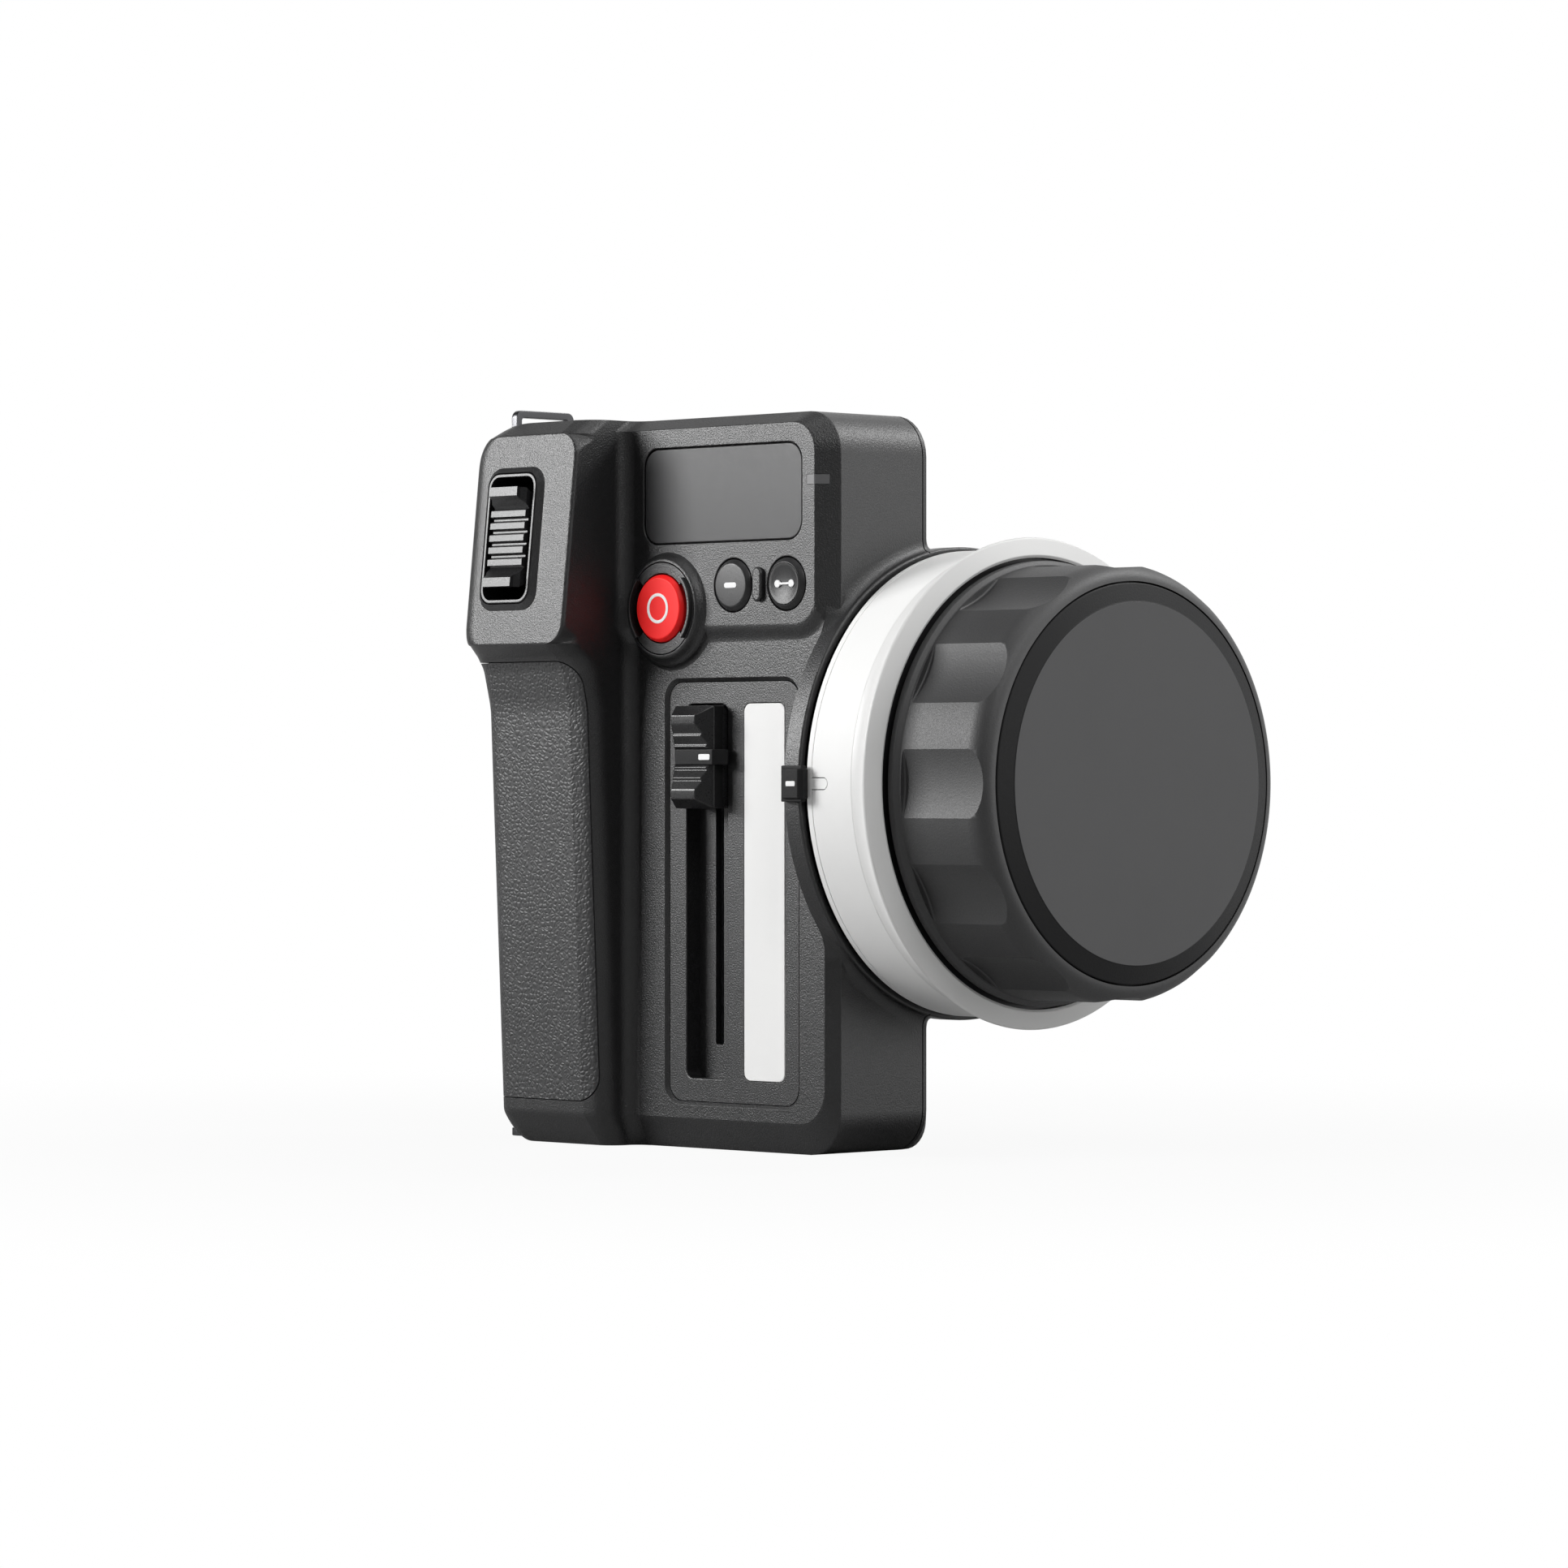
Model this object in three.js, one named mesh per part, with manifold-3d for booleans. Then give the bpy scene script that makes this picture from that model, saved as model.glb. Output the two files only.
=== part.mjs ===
// A hand unit for focus: a grip with a display and keys on its front, a long slider, a thumb rocker,
// and a large marked wheel that turns on a motor at its right side.
// X runs along the wheel's axle towards the wheel, the front with the display looks to -Y, and Z is up.
// Inside the group x = 0 is the right edge of the display's panel and y = 0 is that panel's face.
import * as THREE from "three";
import { mergeVertices } from "three/addons/utils/BufferGeometryUtils.js";
import Module from "manifold-3d";

// Driving sizes of the whole unit, in millimetres
const bodyHeight = 124.2;
const bodyLeft = -73.6;
const partingY = 22.6;
const coverLip = 0.9;
const coverBevelDepth = 3.3;
const coverBackY = partingY + coverLip + coverBevelDepth;
const wallThickness = 2.2;
const seamGap = 0.12;
const runningGap = 0.08;
const clearGap = 0.3;
const overrun = 2;

// Outline of the body as seen from the front
const sideX = 3.15;
const cornerTopLeft = 8;
const cornerBottomLeft = 5.5;
const cornerRight = 7.2;
const faceCorner = 5;
const topBevel = 1.9;
const bottomBevel = 5.2;
const stepDepth = 1.2;
const stepSlope = 2.5;
const stepFromTop = 35.4;
const stepTop = bodyHeight - stepFromTop;
const stepCorner = 4.8;

// The grip column at the left, which stands forward of the panel
const columnWidth = 27.6;
const wallX = bodyLeft + columnWidth;
const columnFootRadius = 2.6;
const gripCornerRadius = 4.6;
const blockCornerRadius = 2.4;
const outerCornerRadius = 5;
const gripReach = 8.3;
const blockReach = 14.9;
const blockTopReach = 11;
const blockTopEdgeReach = 7.6;

// The rubber pad let into the grip
const padBottom = 7.7;
const padFromTop = 41.4;
const padTop = bodyHeight - padFromTop;
const padThickness = 1.2;
const padInset = 1.4;
const padRight = wallX - padInset;
const padBackInset = 5.6;
const padBackY = partingY - padBackInset;
const padCorner = 4;

// The flat face of the block above the pad
const blockFaceTopInset = 2.4;
const blockFaceAbovePad = 3;
const blockFaceRounding = 3.6;
const blockFaceTop = bodyHeight - blockFaceTopInset;
const blockFaceBottom = padTop + blockFaceAbovePad;
const blockFaceHeight = blockFaceTop - blockFaceBottom;

// Cover at the back
const coverBevel = 3.3;
const coverCorner = 5;
const coverWall = 2;

// The wheel's axle
const axleBehindParting = 8.9;
const axleDrop = 0.1;
const wheelY = partingY + axleBehindParting;
const wheelZ = bodyHeight / 2 - axleDrop;

// Fixed base ring, moulded half in each shell, the drum behind it that holds the motor, and the base plate in it
const ringRadius = 40;
const ringInset = 1.75;
const ringProud = 1.75;
const ringLeft = sideX - ringInset;
const ringRight = sideX + ringProud;
const ringFillet = 2.6;
const drumStep = 1.8;
const drumRadius = ringRadius - drumStep;
const drumLength = 27.4;
const drumLeft = ringLeft - drumLength;
const drumBevel = 7;
const basePlateStep = 1.4;
const basePlateRadius = ringRadius - basePlateStep;
const basePlateProud = 0.6;
const basePlateRight = ringRight + basePlateProud;
const basePlateThickness = 2.4;
const hubWall = 3;
const hubLength = 19;

// Shaft, bearings and motor
const shaftRadius = 4;
const shaftTail = 20.1;
const bearingRing = 4;
const bearingFit = 0.06;
const hubBoreRadius = shaftRadius + bearingRing;
const hubOuterRadius = hubBoreRadius + hubWall;
const bearingWidth = 5;
const motorRadius = 19;
const motorRoom = 1;
const drumOpening = motorRadius + motorRoom + coverWall;
const motorLength = 20;
const motorBoreGap = 1;
const motorBoreRadius = shaftRadius + motorBoreGap;
const encoderRadius = 13;
const encoderThickness = 1.6;

// Turning wheel: the marking ring and the flare
const wheelGap = 0.4;
const wheelLeft = basePlateRight + wheelGap;
const markingStep = 0.7;
const markingRadius = ringRadius - markingStep;
const markingWall = 1.6;
const coreSeatRadius = markingRadius - markingWall;
const coreSeatWall = 1.8;
const rimWidth = 1.1;
const tabWidth = 2;
const tabReach = 3.8;
const markingWidth = 10.3;
const flareLeft = wheelLeft + markingWidth;
const flareRise = 2.25;
const flareRadius = markingRadius + flareRise;
const flareWidth = 4.7;
const flareLipX = flareLeft + flareWidth;
const flareFaceSlope = 1.2;
const flareFaceX = flareLipX + flareFaceSlope;

// Turning wheel: the grip, its core and the cap
const gripStep = 2.9;
const gripRadius = markingRadius - gripStep;
const gripGap = 0.4;
const gripLeft = flareFaceX + gripGap;
const gripLength = 20.5;
const gripRight = gripLeft + gripLength;
const gripShoulder = 5;
const gripShoulderX = gripRight - gripShoulder;
const gripWall = 2.1;
const gripWheelCorner = 0.8;
const flareGap = 1.8;
const flareInnerFace = gripRadius + flareGap;
const coreStepX = flareFaceX - flareFaceSlope;
const coreWebThickness = 1.8;
const coreRadius = gripRadius - gripWall;
const coreWall = 1.7;
const coreFaceInset = 2;
const coreFaceThickness = 2.6;
const coreFaceRight = gripRight - coreFaceInset;
const coreFaceLeft = coreFaceRight - coreFaceThickness;
const coreBossWall = 5;
const coreBossRadius = shaftRadius + coreBossWall;
const coreBossLength = 10.4;
const coreBossLeft = coreFaceLeft - coreBossLength;
const capStep = 3.25;
const capRadius = gripRadius - capStep;
const capProud = 0.2;
const capRimX = gripRight + capProud;
const capCrown = 0.85;
const capFaceX = capRimX + capCrown;
const capRimWidth = 2.75;
const capRimInnerRadius = capRadius - capRimWidth;
const capSlope = 0.5;
const capFaceRadius = capRimInnerRadius - capSlope;
const capChamfer = 0.5;
const capThickness = 1.5;
const fluteCount = 12;
const fluteDepth = 1.1;
const fluteArcRadius = 24;
const fluteLand = 2;
const fluteLeft = gripLeft + fluteLand;

// Screw on the axle that holds the wheel
const hubScrewHeadRadius = 3.4;
const hubScrewHead = 0.9;
const hubScrewRadius = 1.5;
const hubScrewLength = 8;

// Index pointer on the base ring
const pointerHalf = 3.1;
const pointerReach = 1.5;
const pointerOverhang = 2.1;
const pointerRight = ringRight + pointerOverhang;
const pointerSeat = 1.3;
const pointerMarkInset = 1.7;
const pointerMarkLength = 2.2;
const pointerMarkRight = pointerRight - pointerMarkInset;
const pointerMarkLeft = pointerMarkRight - pointerMarkLength;
const pointerMarkHeight = 0.8;

// Display
const windowFromWall = 4.7;
const windowLeft = wallX + windowFromWall;
const windowRight = -3;
const windowFromTop = 5.1;
const windowHeight = 16.4;
const windowTop = bodyHeight - windowFromTop;
const windowBottom = windowTop - windowHeight;
const windowCorner = 3.3;
const windowInset = 0.2;
const windowThickness = 1.1;
const windowLedge = 1.6;
const moduleThickness = 1.8;

// Status light pipe that wraps the panel's right edge
const lightReach = 1.8;
const lightFromTop = 10.8;
const lightHeight = 1.6;
const lightTop = bodyHeight - lightFromTop;
const lightBottom = lightTop - lightHeight;
const lightWrap = 1.8;
const lightStem = 1.3;
const lightBehind = 1.45;
const lightDepth = sideX + lightBehind;

// Keys
const keysAboveStep = 6.6;
const keyZ = stepTop + keysAboveStep;
const keyHoleRadius = 4.55;
const abKeyX = -6.65;
const keyPitch = 12.75;
const mKeyX = abKeyX - keyPitch;
const keyProud = 0.65;
const keyBevel = 0.75;
const keyDish = 0.45;
const keyTravel = 0.5;
const keyGap = 0.15;
const keyFlange = 0.7;
const keyFlangeThickness = 0.8;
const keyStemRadius = 1.5;
const keyStemLength = 2.1;
const dividerX = (mKeyX + abKeyX) / 2;
const dividerHalf = 1.1;
const dividerHeight = 5.8;
const dividerProud = 0.9;
const markProud = 0.08;

// Record key with its collar
const recFromWall = 10.6;
const recX = wallX + recFromWall;
const recAboveStep = 3;
const recZ = stepTop + recAboveStep;
const recRadius = 5.2;
const recFace = 2.3;
const recBevel = 0.35;
const recSkirtStep = 0.25;
const recCollarBore = recRadius + recSkirtStep;
const recCollarWidth = 2.45;
const recCollarRadius = recCollarBore + recCollarWidth;
const recArcFace = 1.5;
const recCrescentBore = recCollarRadius - recCollarWidth * 0.36;
const recCrescentRadius = recCollarRadius - recCollarWidth * 0.1;
const recCrescentAngle = 42;
const recBossFillet = 1.9;
const recBossRadius = recCollarRadius + recBossFillet;
const recMarkRadius = 2.3;
const recMarkWidth = 0.55;

// Slider panel, slot and strip
const panelFromWall = 9.3;
const panelLeft = wallX + panelFromWall;
const panelRight = -5.4;
const panelBottom = 8;
const panelBelowStep = 9.5;
const panelTop = stepTop - panelBelowStep;
const panelCorner = 3;
const panelRecess = 0.6;
const panelThickness = 1.6;
const panelBorder = 4.1;
const panelEnd = 4;
const slotWidth = 10;
const slotLeft = panelLeft + panelBorder;
const slotRight = slotLeft + slotWidth;
const slotBottom = panelBottom + panelEnd;
const slotFromPanelTop = 3.8;
const slotTop = panelTop - slotFromPanelTop;
const slotDepth = 3.1;
const slotCorner = 1.5;
const slotWall = 1.3;
const slitHalf = 1;
const slitEnd = 5.7;
const slitBottom = slotBottom + slitEnd;
const slitTop = slotTop - slitEnd;
const stripInset = 3.4;
const stripWidth = 9.7;
const stripRight = panelRight - stripInset;
const stripLeft = stripRight - stripWidth;
const stripCorner = 1.5;
const stripThickness = 0.8;
const stripProud = 0.1;

// Slider thumb
const thumbHeight = 17.4;
const thumbSideGap = 0.35;
const thumbRidgeWidth = 5.7;
const thumbRidgeReach = 3.9;
const thumbShoulderReach = 1.1;
const thumbValleyReach = 1.65;
const thumbValleyWidth = 7.6;
const thumbTipInset = 1.6;
const thumbRidgeFace = 1.6;
const thumbLift = 0.4;
const stemHalf = 2.6;
const stemSide = 0.8;
const stemIntoTrack = 3.4;
const armOverhang = 1.3;
const armRight = slotRight + armOverhang;
const armHalf = 1.3;
const armReach = 2;
const armTaper = 1.1;
const armMarkWidth = 2.7;
const armMarkHeight = 1;
const armMarkInset = 0.6;
const potDepth = 6;
const potWidth = 8.6;
const potGroove = 3.6;

// Thumb rocker in the block
const rockerShift = 0.7;
const rockerX = (bodyLeft + wallX) / 2 - rockerShift;
const rockerFromTop = 20.2;
const rockerZ = bodyHeight - rockerFromTop;
const bezelWidth = 12.1;
const bezelHeight = 22.5;
const bezelCorner = 2.4;
const bezelRim = 0.65;
const bezelDepth = 9;
const bezelFloor = 1.4;
const frameFlank = 1.2;
const frameWidth = bezelWidth + frameFlank * 2;
const frameHeight = bezelHeight + frameFlank * 2;
const frameRise = 0.95;
const frameCorner = bezelCorner + frameFlank * 0.8;
const pinDepth = 4.4;
const pinRadius = 1;
const rockerWidth = 8.7;
const rockerTipWidth = 7.1;
const rockerHalf = 8.6;
const rockerTipReach = 2.95;
const rockerTipFace = 1.55;
const rockerRibReach = 1.35;
const rockerRibDepth = 0.8;
const rockerRibPitch = 2.1;
const rockerRibFace = 1.05;
const rockerRibCount = 5;
const rockerHubWall = 1.4;
const rockerHubRadius = pinRadius + rockerHubWall;
const rockerBack = 1.8;
const sensorDepth = 3;
const sensorHalf = 4.5;

// Strap lugs of flat metal
const lugThickness = 1.4;
const topLugInset = 6.3;
const topLugX = bodyLeft + topLugInset;
const topLugFront = -6.3;
const topLugBack = 7.2;
const topLugRise = 2.5;
const lugBar = 1.3;
const lugCorner = 1.4;
const lugFoot = 3;
const bottomLugProud = 0.6;
const bottomLugLeft = bodyLeft - bottomLugProud;
const bottomLugFront = -1.3;
const bottomLugBack = 11.5;
const bottomLugBottom = 0.6;
const bottomLugReachIn = 6;

// Electronics inside
const boardThickness = 1.2;
const boardLeft = wallX;
const boardRight = -3.4;
const boardDrop = 4.3;
const boardFromTop = 5.7;
const boardBottom = stepTop - boardDrop;
const boardTop = bodyHeight - boardFromTop;
const postRadius = 2.6;
const postShareX = 0.12;
const postShareZ = 0.14;
const switchHalf = 2.6;
const switchHeight = 3.2;
const batteryWidth = 20;
const batteryBottom = 13;
const batteryBelowPadTop = 3.8;
const batteryTop = padTop - batteryBelowPadTop;
const batteryBackGap = 4.2;
const batteryBackY = partingY - batteryBackGap;
const batteryCorner = 2.5;

// Fastenings and sockets
const screwHeadRadius = 2.1;
const screwHead = 1.4;
const screwRadius = 1.1;
const screwLength = 13;
const screwBossRadius = 3;
const screwInsetX = 7.4;
const screwInsetZ = 9;
const screwRightInset = 7;
const tripodX = -20;
const tripodInFront = 9.6;
const tripodY = partingY - tripodInFront;
const tripodOuter = 5.5;
const tripodBore = 3.2;
const tripodDepth = 7.5;
const portInset = 1.8;
const portX = (bodyLeft + wallX) / 2 + portInset;
const portZ = 19;
const portWidth = 9;
const portHeight = 3.4;
const portDepth = 6.5;
const flapWidth = 16;
const flapHeight = 9;
const flapThickness = 1.1;
const flapCorner = 2;

// Where the origin lies: the middle of the flat foot
const footX = -38;
const footY = 13;

const arcSteps = 5;
const smallSteps = 18;
const wheelSteps = 60;
const weld = 1e-4;

const wasm = await Module();
wasm.setup();

// Solids and outlines

function solid(geometry) {
  geometry.deleteAttribute("normal");
  geometry.deleteAttribute("uv");
  const merged = mergeVertices(geometry, weld);
  const from = merged.index.array;
  const kept = [];
  for (let i = 0; i < from.length; i += 3) {
    const [a, b, c] = [from[i], from[i + 1], from[i + 2]];
    if (a !== b && b !== c && c !== a) kept.push(a, b, c);
  }
  return new wasm.Manifold(
    new wasm.Mesh({
      numProp: 3,
      vertProperties: merged.attributes.position.array,
      triVerts: new Uint32Array(kept),
    }),
  );
}

const join = (first, ...rest) => rest.reduce((a, b) => a.add(b), first);
const cut = (first, ...rest) => rest.reduce((a, b) => a.subtract(b), first);
const common = (first, ...rest) => rest.reduce((a, b) => a.intersect(b), first);

function box(x0, x1, y0, y1, z0, z1) {
  const g = new THREE.BoxGeometry(x1 - x0, y1 - y0, z1 - z0);
  return solid(g.translate((x0 + x1) / 2, (y0 + y1) / 2, (z0 + z1) / 2));
}

function arc(cx, cy, radius, from, to, steps = arcSteps) {
  const points = [];
  for (let i = 0; i <= steps; i++) {
    const angle = THREE.MathUtils.degToRad(from + ((to - from) * i) / steps);
    points.push([cx + radius * Math.cos(angle), cy + radius * Math.sin(angle)]);
  }
  return points;
}

// Corner radii run counterclockwise from the bottom left.
function roundedPoints(left, right, bottom, top, radii, steps = arcSteps) {
  const [bl, br, tr, tl] = Array.isArray(radii) ? radii : [radii, radii, radii, radii];
  return [
    ...arc(left + bl, bottom + bl, bl, 180, 270, steps),
    ...arc(right - br, bottom + br, br, 270, 360, steps),
    ...arc(right - tr, top - tr, tr, 0, 90, steps),
    ...arc(left + tl, top - tl, tl, 90, 180, steps),
  ];
}

const circlePoints = (cx, cy, radius, steps = smallSteps) =>
  arc(cx, cy, radius, 0, 360, steps).slice(0, -1);

// A loft through rings of [x, y] points, each at its own height, counterclockwise and rising.
function loftGeometry(rings) {
  const count = rings[0].points.length;
  const positions = [];
  const index = [];
  for (const { points, height } of rings) for (const [x, y] of points) positions.push(x, y, height);
  for (let r = 0; r + 1 < rings.length; r++)
    for (let i = 0; i < count; i++) {
      const a = r * count + i;
      const b = r * count + ((i + 1) % count);
      index.push(a, b, b + count, a, b + count, a + count);
    }
  const cap = (r, flip) => {
    const flat = rings[r].points.map(([x, y]) => new THREE.Vector2(x, y));
    for (const [a, b, c] of THREE.ShapeUtils.triangulateShape(flat, []))
      index.push(...(flip ? [a, c, b] : [a, b, c]).map((i) => i + r * count));
  };
  cap(0, true);
  cap(rings.length - 1, false);
  const g = new THREE.BufferGeometry();
  g.setAttribute("position", new THREE.Float32BufferAttribute(positions, 3));
  g.setIndex(index);
  return g;
}

const alongX = new THREE.Matrix4().makeBasis(
  new THREE.Vector3(0, 1, 0),
  new THREE.Vector3(0, 0, 1),
  new THREE.Vector3(1, 0, 0),
);
const alongY = new THREE.Matrix4().makeRotationX(Math.PI / 2);

// Prisms from x0 to x1 of a (y, z) outline, from y0 to y1 of an (x, z) outline, and from z0 to z1 of an (x, y) one.
const prismX = (points, x0, x1) =>
  solid(loftGeometry([{ points, height: x0 }, { points, height: x1 }]).applyMatrix4(alongX));
const prismY = (points, y0, y1) =>
  solid(loftGeometry([{ points, height: -y1 }, { points, height: -y0 }]).applyMatrix4(alongY));
const prismZ = (points, z0, z1) => solid(loftGeometry([{ points, height: z0 }, { points, height: z1 }]));

// A loft of (x, z) outlines from the back to the front, each ring given as [y, points].
const loftToFront = (rings) =>
  solid(loftGeometry(rings.map(([y, points]) => ({ points, height: -y }))).applyMatrix4(alongY));

const plateY = (left, right, bottom, top, corner, y0, y1) =>
  prismY(roundedPoints(left, right, bottom, top, corner), y0, y1);

function turned(profile, steps) {
  return new THREE.LatheGeometry(profile.map(([r, h]) => new THREE.Vector2(r, h)), steps);
}

const axleX = new THREE.Matrix4().makeBasis(
  new THREE.Vector3(0, 1, 0),
  new THREE.Vector3(1, 0, 0),
  new THREE.Vector3(0, 0, -1),
);

// A turned piece on the wheel's axle: profile points are [radius, x], outer side rising.
const onAxle = (profile, steps = wheelSteps) =>
  solid(turned(profile, steps).applyMatrix4(axleX).translate(0, wheelY, wheelZ));

// A turned piece that looks to the front: profile points are [radius, y], outer side rising.
const facingFront = (profile, x, z, steps = smallSteps * 2) => solid(turned(profile, steps).translate(x, 0, z));

const ringProfile = (inner, outer, from, to) => [
  [inner, from],
  [outer, from],
  [outer, to],
  [inner, to],
  [inner, from],
];
const discProfile = (radius, from, to) => [
  [0, from],
  [radius, from],
  [radius, to],
  [0, to],
];

// Materials

const paint = (color, roughness, metalness = 0, extra = {}) =>
  new THREE.MeshStandardMaterial({ color, roughness, metalness, flatShading: true, ...extra });

const mouldedBlack = paint(0x3a3a3b, 0.62);
const gripRubber = paint(0x2e2e2f, 0.88);
const wheelRubber = paint(0x333334, 0.8);
const glossGlass = paint(0x24272a, 0.08);
const whitePlastic = paint(0xf1f1f0, 0.55);
const frosted = paint(0xd8d8d6, 0.35, 0, { transparent: true, opacity: 0.8 });
const keyPlastic = paint(0x444446, 0.5);
const redPlastic = paint(0xf02c2c, 0.4);
const satinMetal = paint(0x8f9194, 0.35, 0.9);
const steel = paint(0x9a9c9e, 0.3, 1);
const boardGreen = paint(0x1f4d36, 0.6);
const cellWrap = paint(0x394a6b, 0.5);
const capPlastic = paint(0x4b4b4c, 0.45);

const part = new THREE.Group();

function add(name, shape, material) {
  const { vertProperties, triVerts } = shape.getMesh();
  const g = new THREE.BufferGeometry();
  g.setAttribute("position", new THREE.BufferAttribute(new Float32Array(vertProperties), 3));
  g.setIndex(new THREE.BufferAttribute(new Uint32Array(triVerts), 1));
  g.computeVertexNormals();
  const mesh = new THREE.Mesh(g, material);
  mesh.name = name;
  part.add(mesh);
}

// The body's outer form

const bodyRadii = [cornerBottomLeft, cornerRight, cornerRight, cornerTopLeft];
const bodyOutline = roundedPoints(bodyLeft, sideX, 0, bodyHeight, bodyRadii);

// Where the panel's face lies at a height: forward at the display, back at the lower panel and the bevels.
function panelFaceAt(z) {
  if (z < bottomBevel) return stepDepth + ((sideX - stepDepth) * (bottomBevel - z)) / bottomBevel;
  if (z < stepTop - stepSlope) return stepDepth;
  if (z < stepTop) return (stepDepth * (stepTop - z)) / stepSlope;
  if (z < bodyHeight - topBevel) return 0;
  return (sideX * (z - bodyHeight + topBevel)) / topBevel;
}

function slab() {
  const face = (right, bottom, top, corner) =>
    roundedPoints(bodyLeft, right, bottom, top, [corner, corner, corner, corner]);
  const shareOfBevel = stepDepth / sideX;
  const whole = loftToFront([
    [partingY, roundedPoints(bodyLeft, sideX, 0, bodyHeight, cornerRight)],
    [sideX, roundedPoints(bodyLeft, sideX, 0, bodyHeight, cornerRight)],
    [stepDepth, face(stepDepth, bottomBevel, bodyHeight - topBevel * (1 - shareOfBevel), faceCorner + stepDepth / 2)],
    [0, face(0, bottomBevel, bodyHeight - topBevel, faceCorner)],
  ]);
  // The lower panel lies deeper, behind a slope that turns up round the display panel's corner.
  const cornerX = -stepCorner;
  const cornerZ = stepTop + stepCorner;
  const below = (y) => {
    const radius = stepCorner + (stepSlope * y) / stepDepth;
    return [
      [bodyLeft - overrun, -overrun],
      [sideX + overrun, -overrun],
      [sideX + overrun, cornerZ],
      ...arc(cornerX, cornerZ, radius, 0, -90),
      [bodyLeft - overrun, cornerZ - radius],
    ];
  };
  const frontY = -stepDepth;
  return cut(whole, loftToFront([[stepDepth, below(stepDepth)], [frontY, below(frontY)]]));
}

// A level across the block's flat leaning face, whose four corners are rounded.
function faceLevel(z) {
  const share = (z - blockFaceBottom) / blockFaceHeight;
  const fromEnd = Math.max(Math.min(z - blockFaceBottom, blockFaceTop - z, blockFaceRounding), 0);
  const drop = blockFaceRounding - Math.sqrt(blockFaceRounding ** 2 - (blockFaceRounding - fromEnd) ** 2);
  return [z, blockReach + (blockTopReach - blockReach) * share, blockCornerRadius + drop, drop];
}

const topCorner = blockCornerRadius + blockFaceRounding;

// The column's front at a list of heights: how far it reaches forward, its inner corner's radius, and how much
// larger its outer corner is there.
const columnLevels = [
  [0, gripReach * 0.36, gripCornerRadius * 0.6, 0],
  [bottomBevel, gripReach * 0.7, gripCornerRadius * 0.9, 0],
  [bottomBevel + (padTop - bottomBevel) * 0.15, gripReach * 0.76, gripCornerRadius, 0],
  [bottomBevel + (padTop - bottomBevel) * 0.45, gripReach * 0.9, gripCornerRadius, 0],
  [bottomBevel + (padTop - bottomBevel) * 0.73, gripReach, gripCornerRadius, 0],
  [bottomBevel + (padTop - bottomBevel) * 0.89, gripReach * 1.05, gripCornerRadius, 0],
  [bottomBevel + (padTop - bottomBevel) * 0.95, gripReach * 1.14, gripCornerRadius, 0],
  [padTop, blockReach * 0.72, gripCornerRadius, 0],
  faceLevel(blockFaceBottom),
  faceLevel(stepTop - stepSlope),
  faceLevel(stepTop),
  faceLevel(blockFaceTop - blockFaceRounding),
  faceLevel(blockFaceTop - blockFaceRounding * 0.4),
  faceLevel(blockFaceTop),
  [
    bodyHeight - topBevel,
    blockTopReach - (blockTopReach - blockTopEdgeReach) * 0.2,
    topCorner,
    blockFaceRounding,
  ],
  [bodyHeight, blockTopEdgeReach, topCorner, blockFaceRounding],
].sort((one, other) => one[0] - other[0]);

// The column's solid, drawn in by an inset on its left and front.
function column(inset = 0) {
  const rings = columnLevels.map(([z, reach, corner, drop]) => {
    const left = bodyLeft + inset;
    const front = -reach + inset;
    const foot = panelFaceAt(z);
    const right = wallX - inset;
    const inner = Math.max(corner - inset, corner / 2);
    const outer = outerCornerRadius + drop - inset;
    return {
      height: z,
      points: [
        [left, partingY],
        ...arc(left + outer, front + outer, outer, 180, 270),
        ...arc(right - inner, front + inner, inner, 270, 360),
        ...arc(wallX + columnFootRadius, foot - columnFootRadius, columnFootRadius + inset, 180, 90),
        [wallX + columnFootRadius, partingY],
      ],
    };
  });
  return solid(loftGeometry(rings));
}

const inOutline = (shape, grow = 0) =>
  common(
    shape,
    plateY(bodyLeft - grow, sideX + grow, -grow, bodyHeight + grow, bodyRadii, -blockReach - overrun, partingY),
  );

// The lean of the block's face, and a placing of shapes made square to it.
const faceLean = -Math.atan((blockReach - blockTopReach) / (blockFaceTop - blockFaceBottom));
const shareUpFace = (rockerZ - blockFaceBottom) / (blockFaceTop - blockFaceBottom);
const rockerFaceY = -(blockReach + (blockTopReach - blockReach) * shareUpFace);
const ontoFace = new THREE.Matrix4()
  .makeTranslation(rockerX, rockerFaceY, rockerZ)
  .multiply(new THREE.Matrix4().makeRotationX(faceLean));

function placedOnFace(shape) {
  return shape.transform(ontoFace.elements);
}

const faceBlock = (width, height, corner, y0, y1) =>
  plateY(-width / 2, width / 2, -height / 2, height / 2, corner, y0, y1);

// Raised frame round the rocker, with sloping sides.
function rockerFrame() {
  const ring = (width, height, corner) => roundedPoints(-width / 2, width / 2, -height / 2, height / 2, corner);
  return placedOnFace(
    loftToFront([
      [frameRise, ring(frameWidth, frameHeight, frameCorner)],
      [0, ring(frameWidth, frameHeight, frameCorner)],
      [-frameRise, ring(bezelWidth, bezelHeight, bezelCorner)],
    ]),
  );
}

// Boss under the record key's collar.
function recordBoss() {
  const slope = recBossRadius - recCollarRadius;
  return facingFront(
    [
      [0, -recArcFace],
      [recCollarRadius + seamGap * 2, -recArcFace],
      [recCollarRadius + slope * 0.45, -recArcFace * 0.75],
      [recBossRadius - slope * 0.2, -recArcFace * 0.1],
      [recBossRadius, stepDepth * 0.25],
      [recBossRadius + slope * 0.6, stepDepth],
      [recBossRadius + slope * 0.6, stepDepth * 2],
      [0, stepDepth * 2],
    ],
    recX,
    recZ,
  );
}

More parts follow.
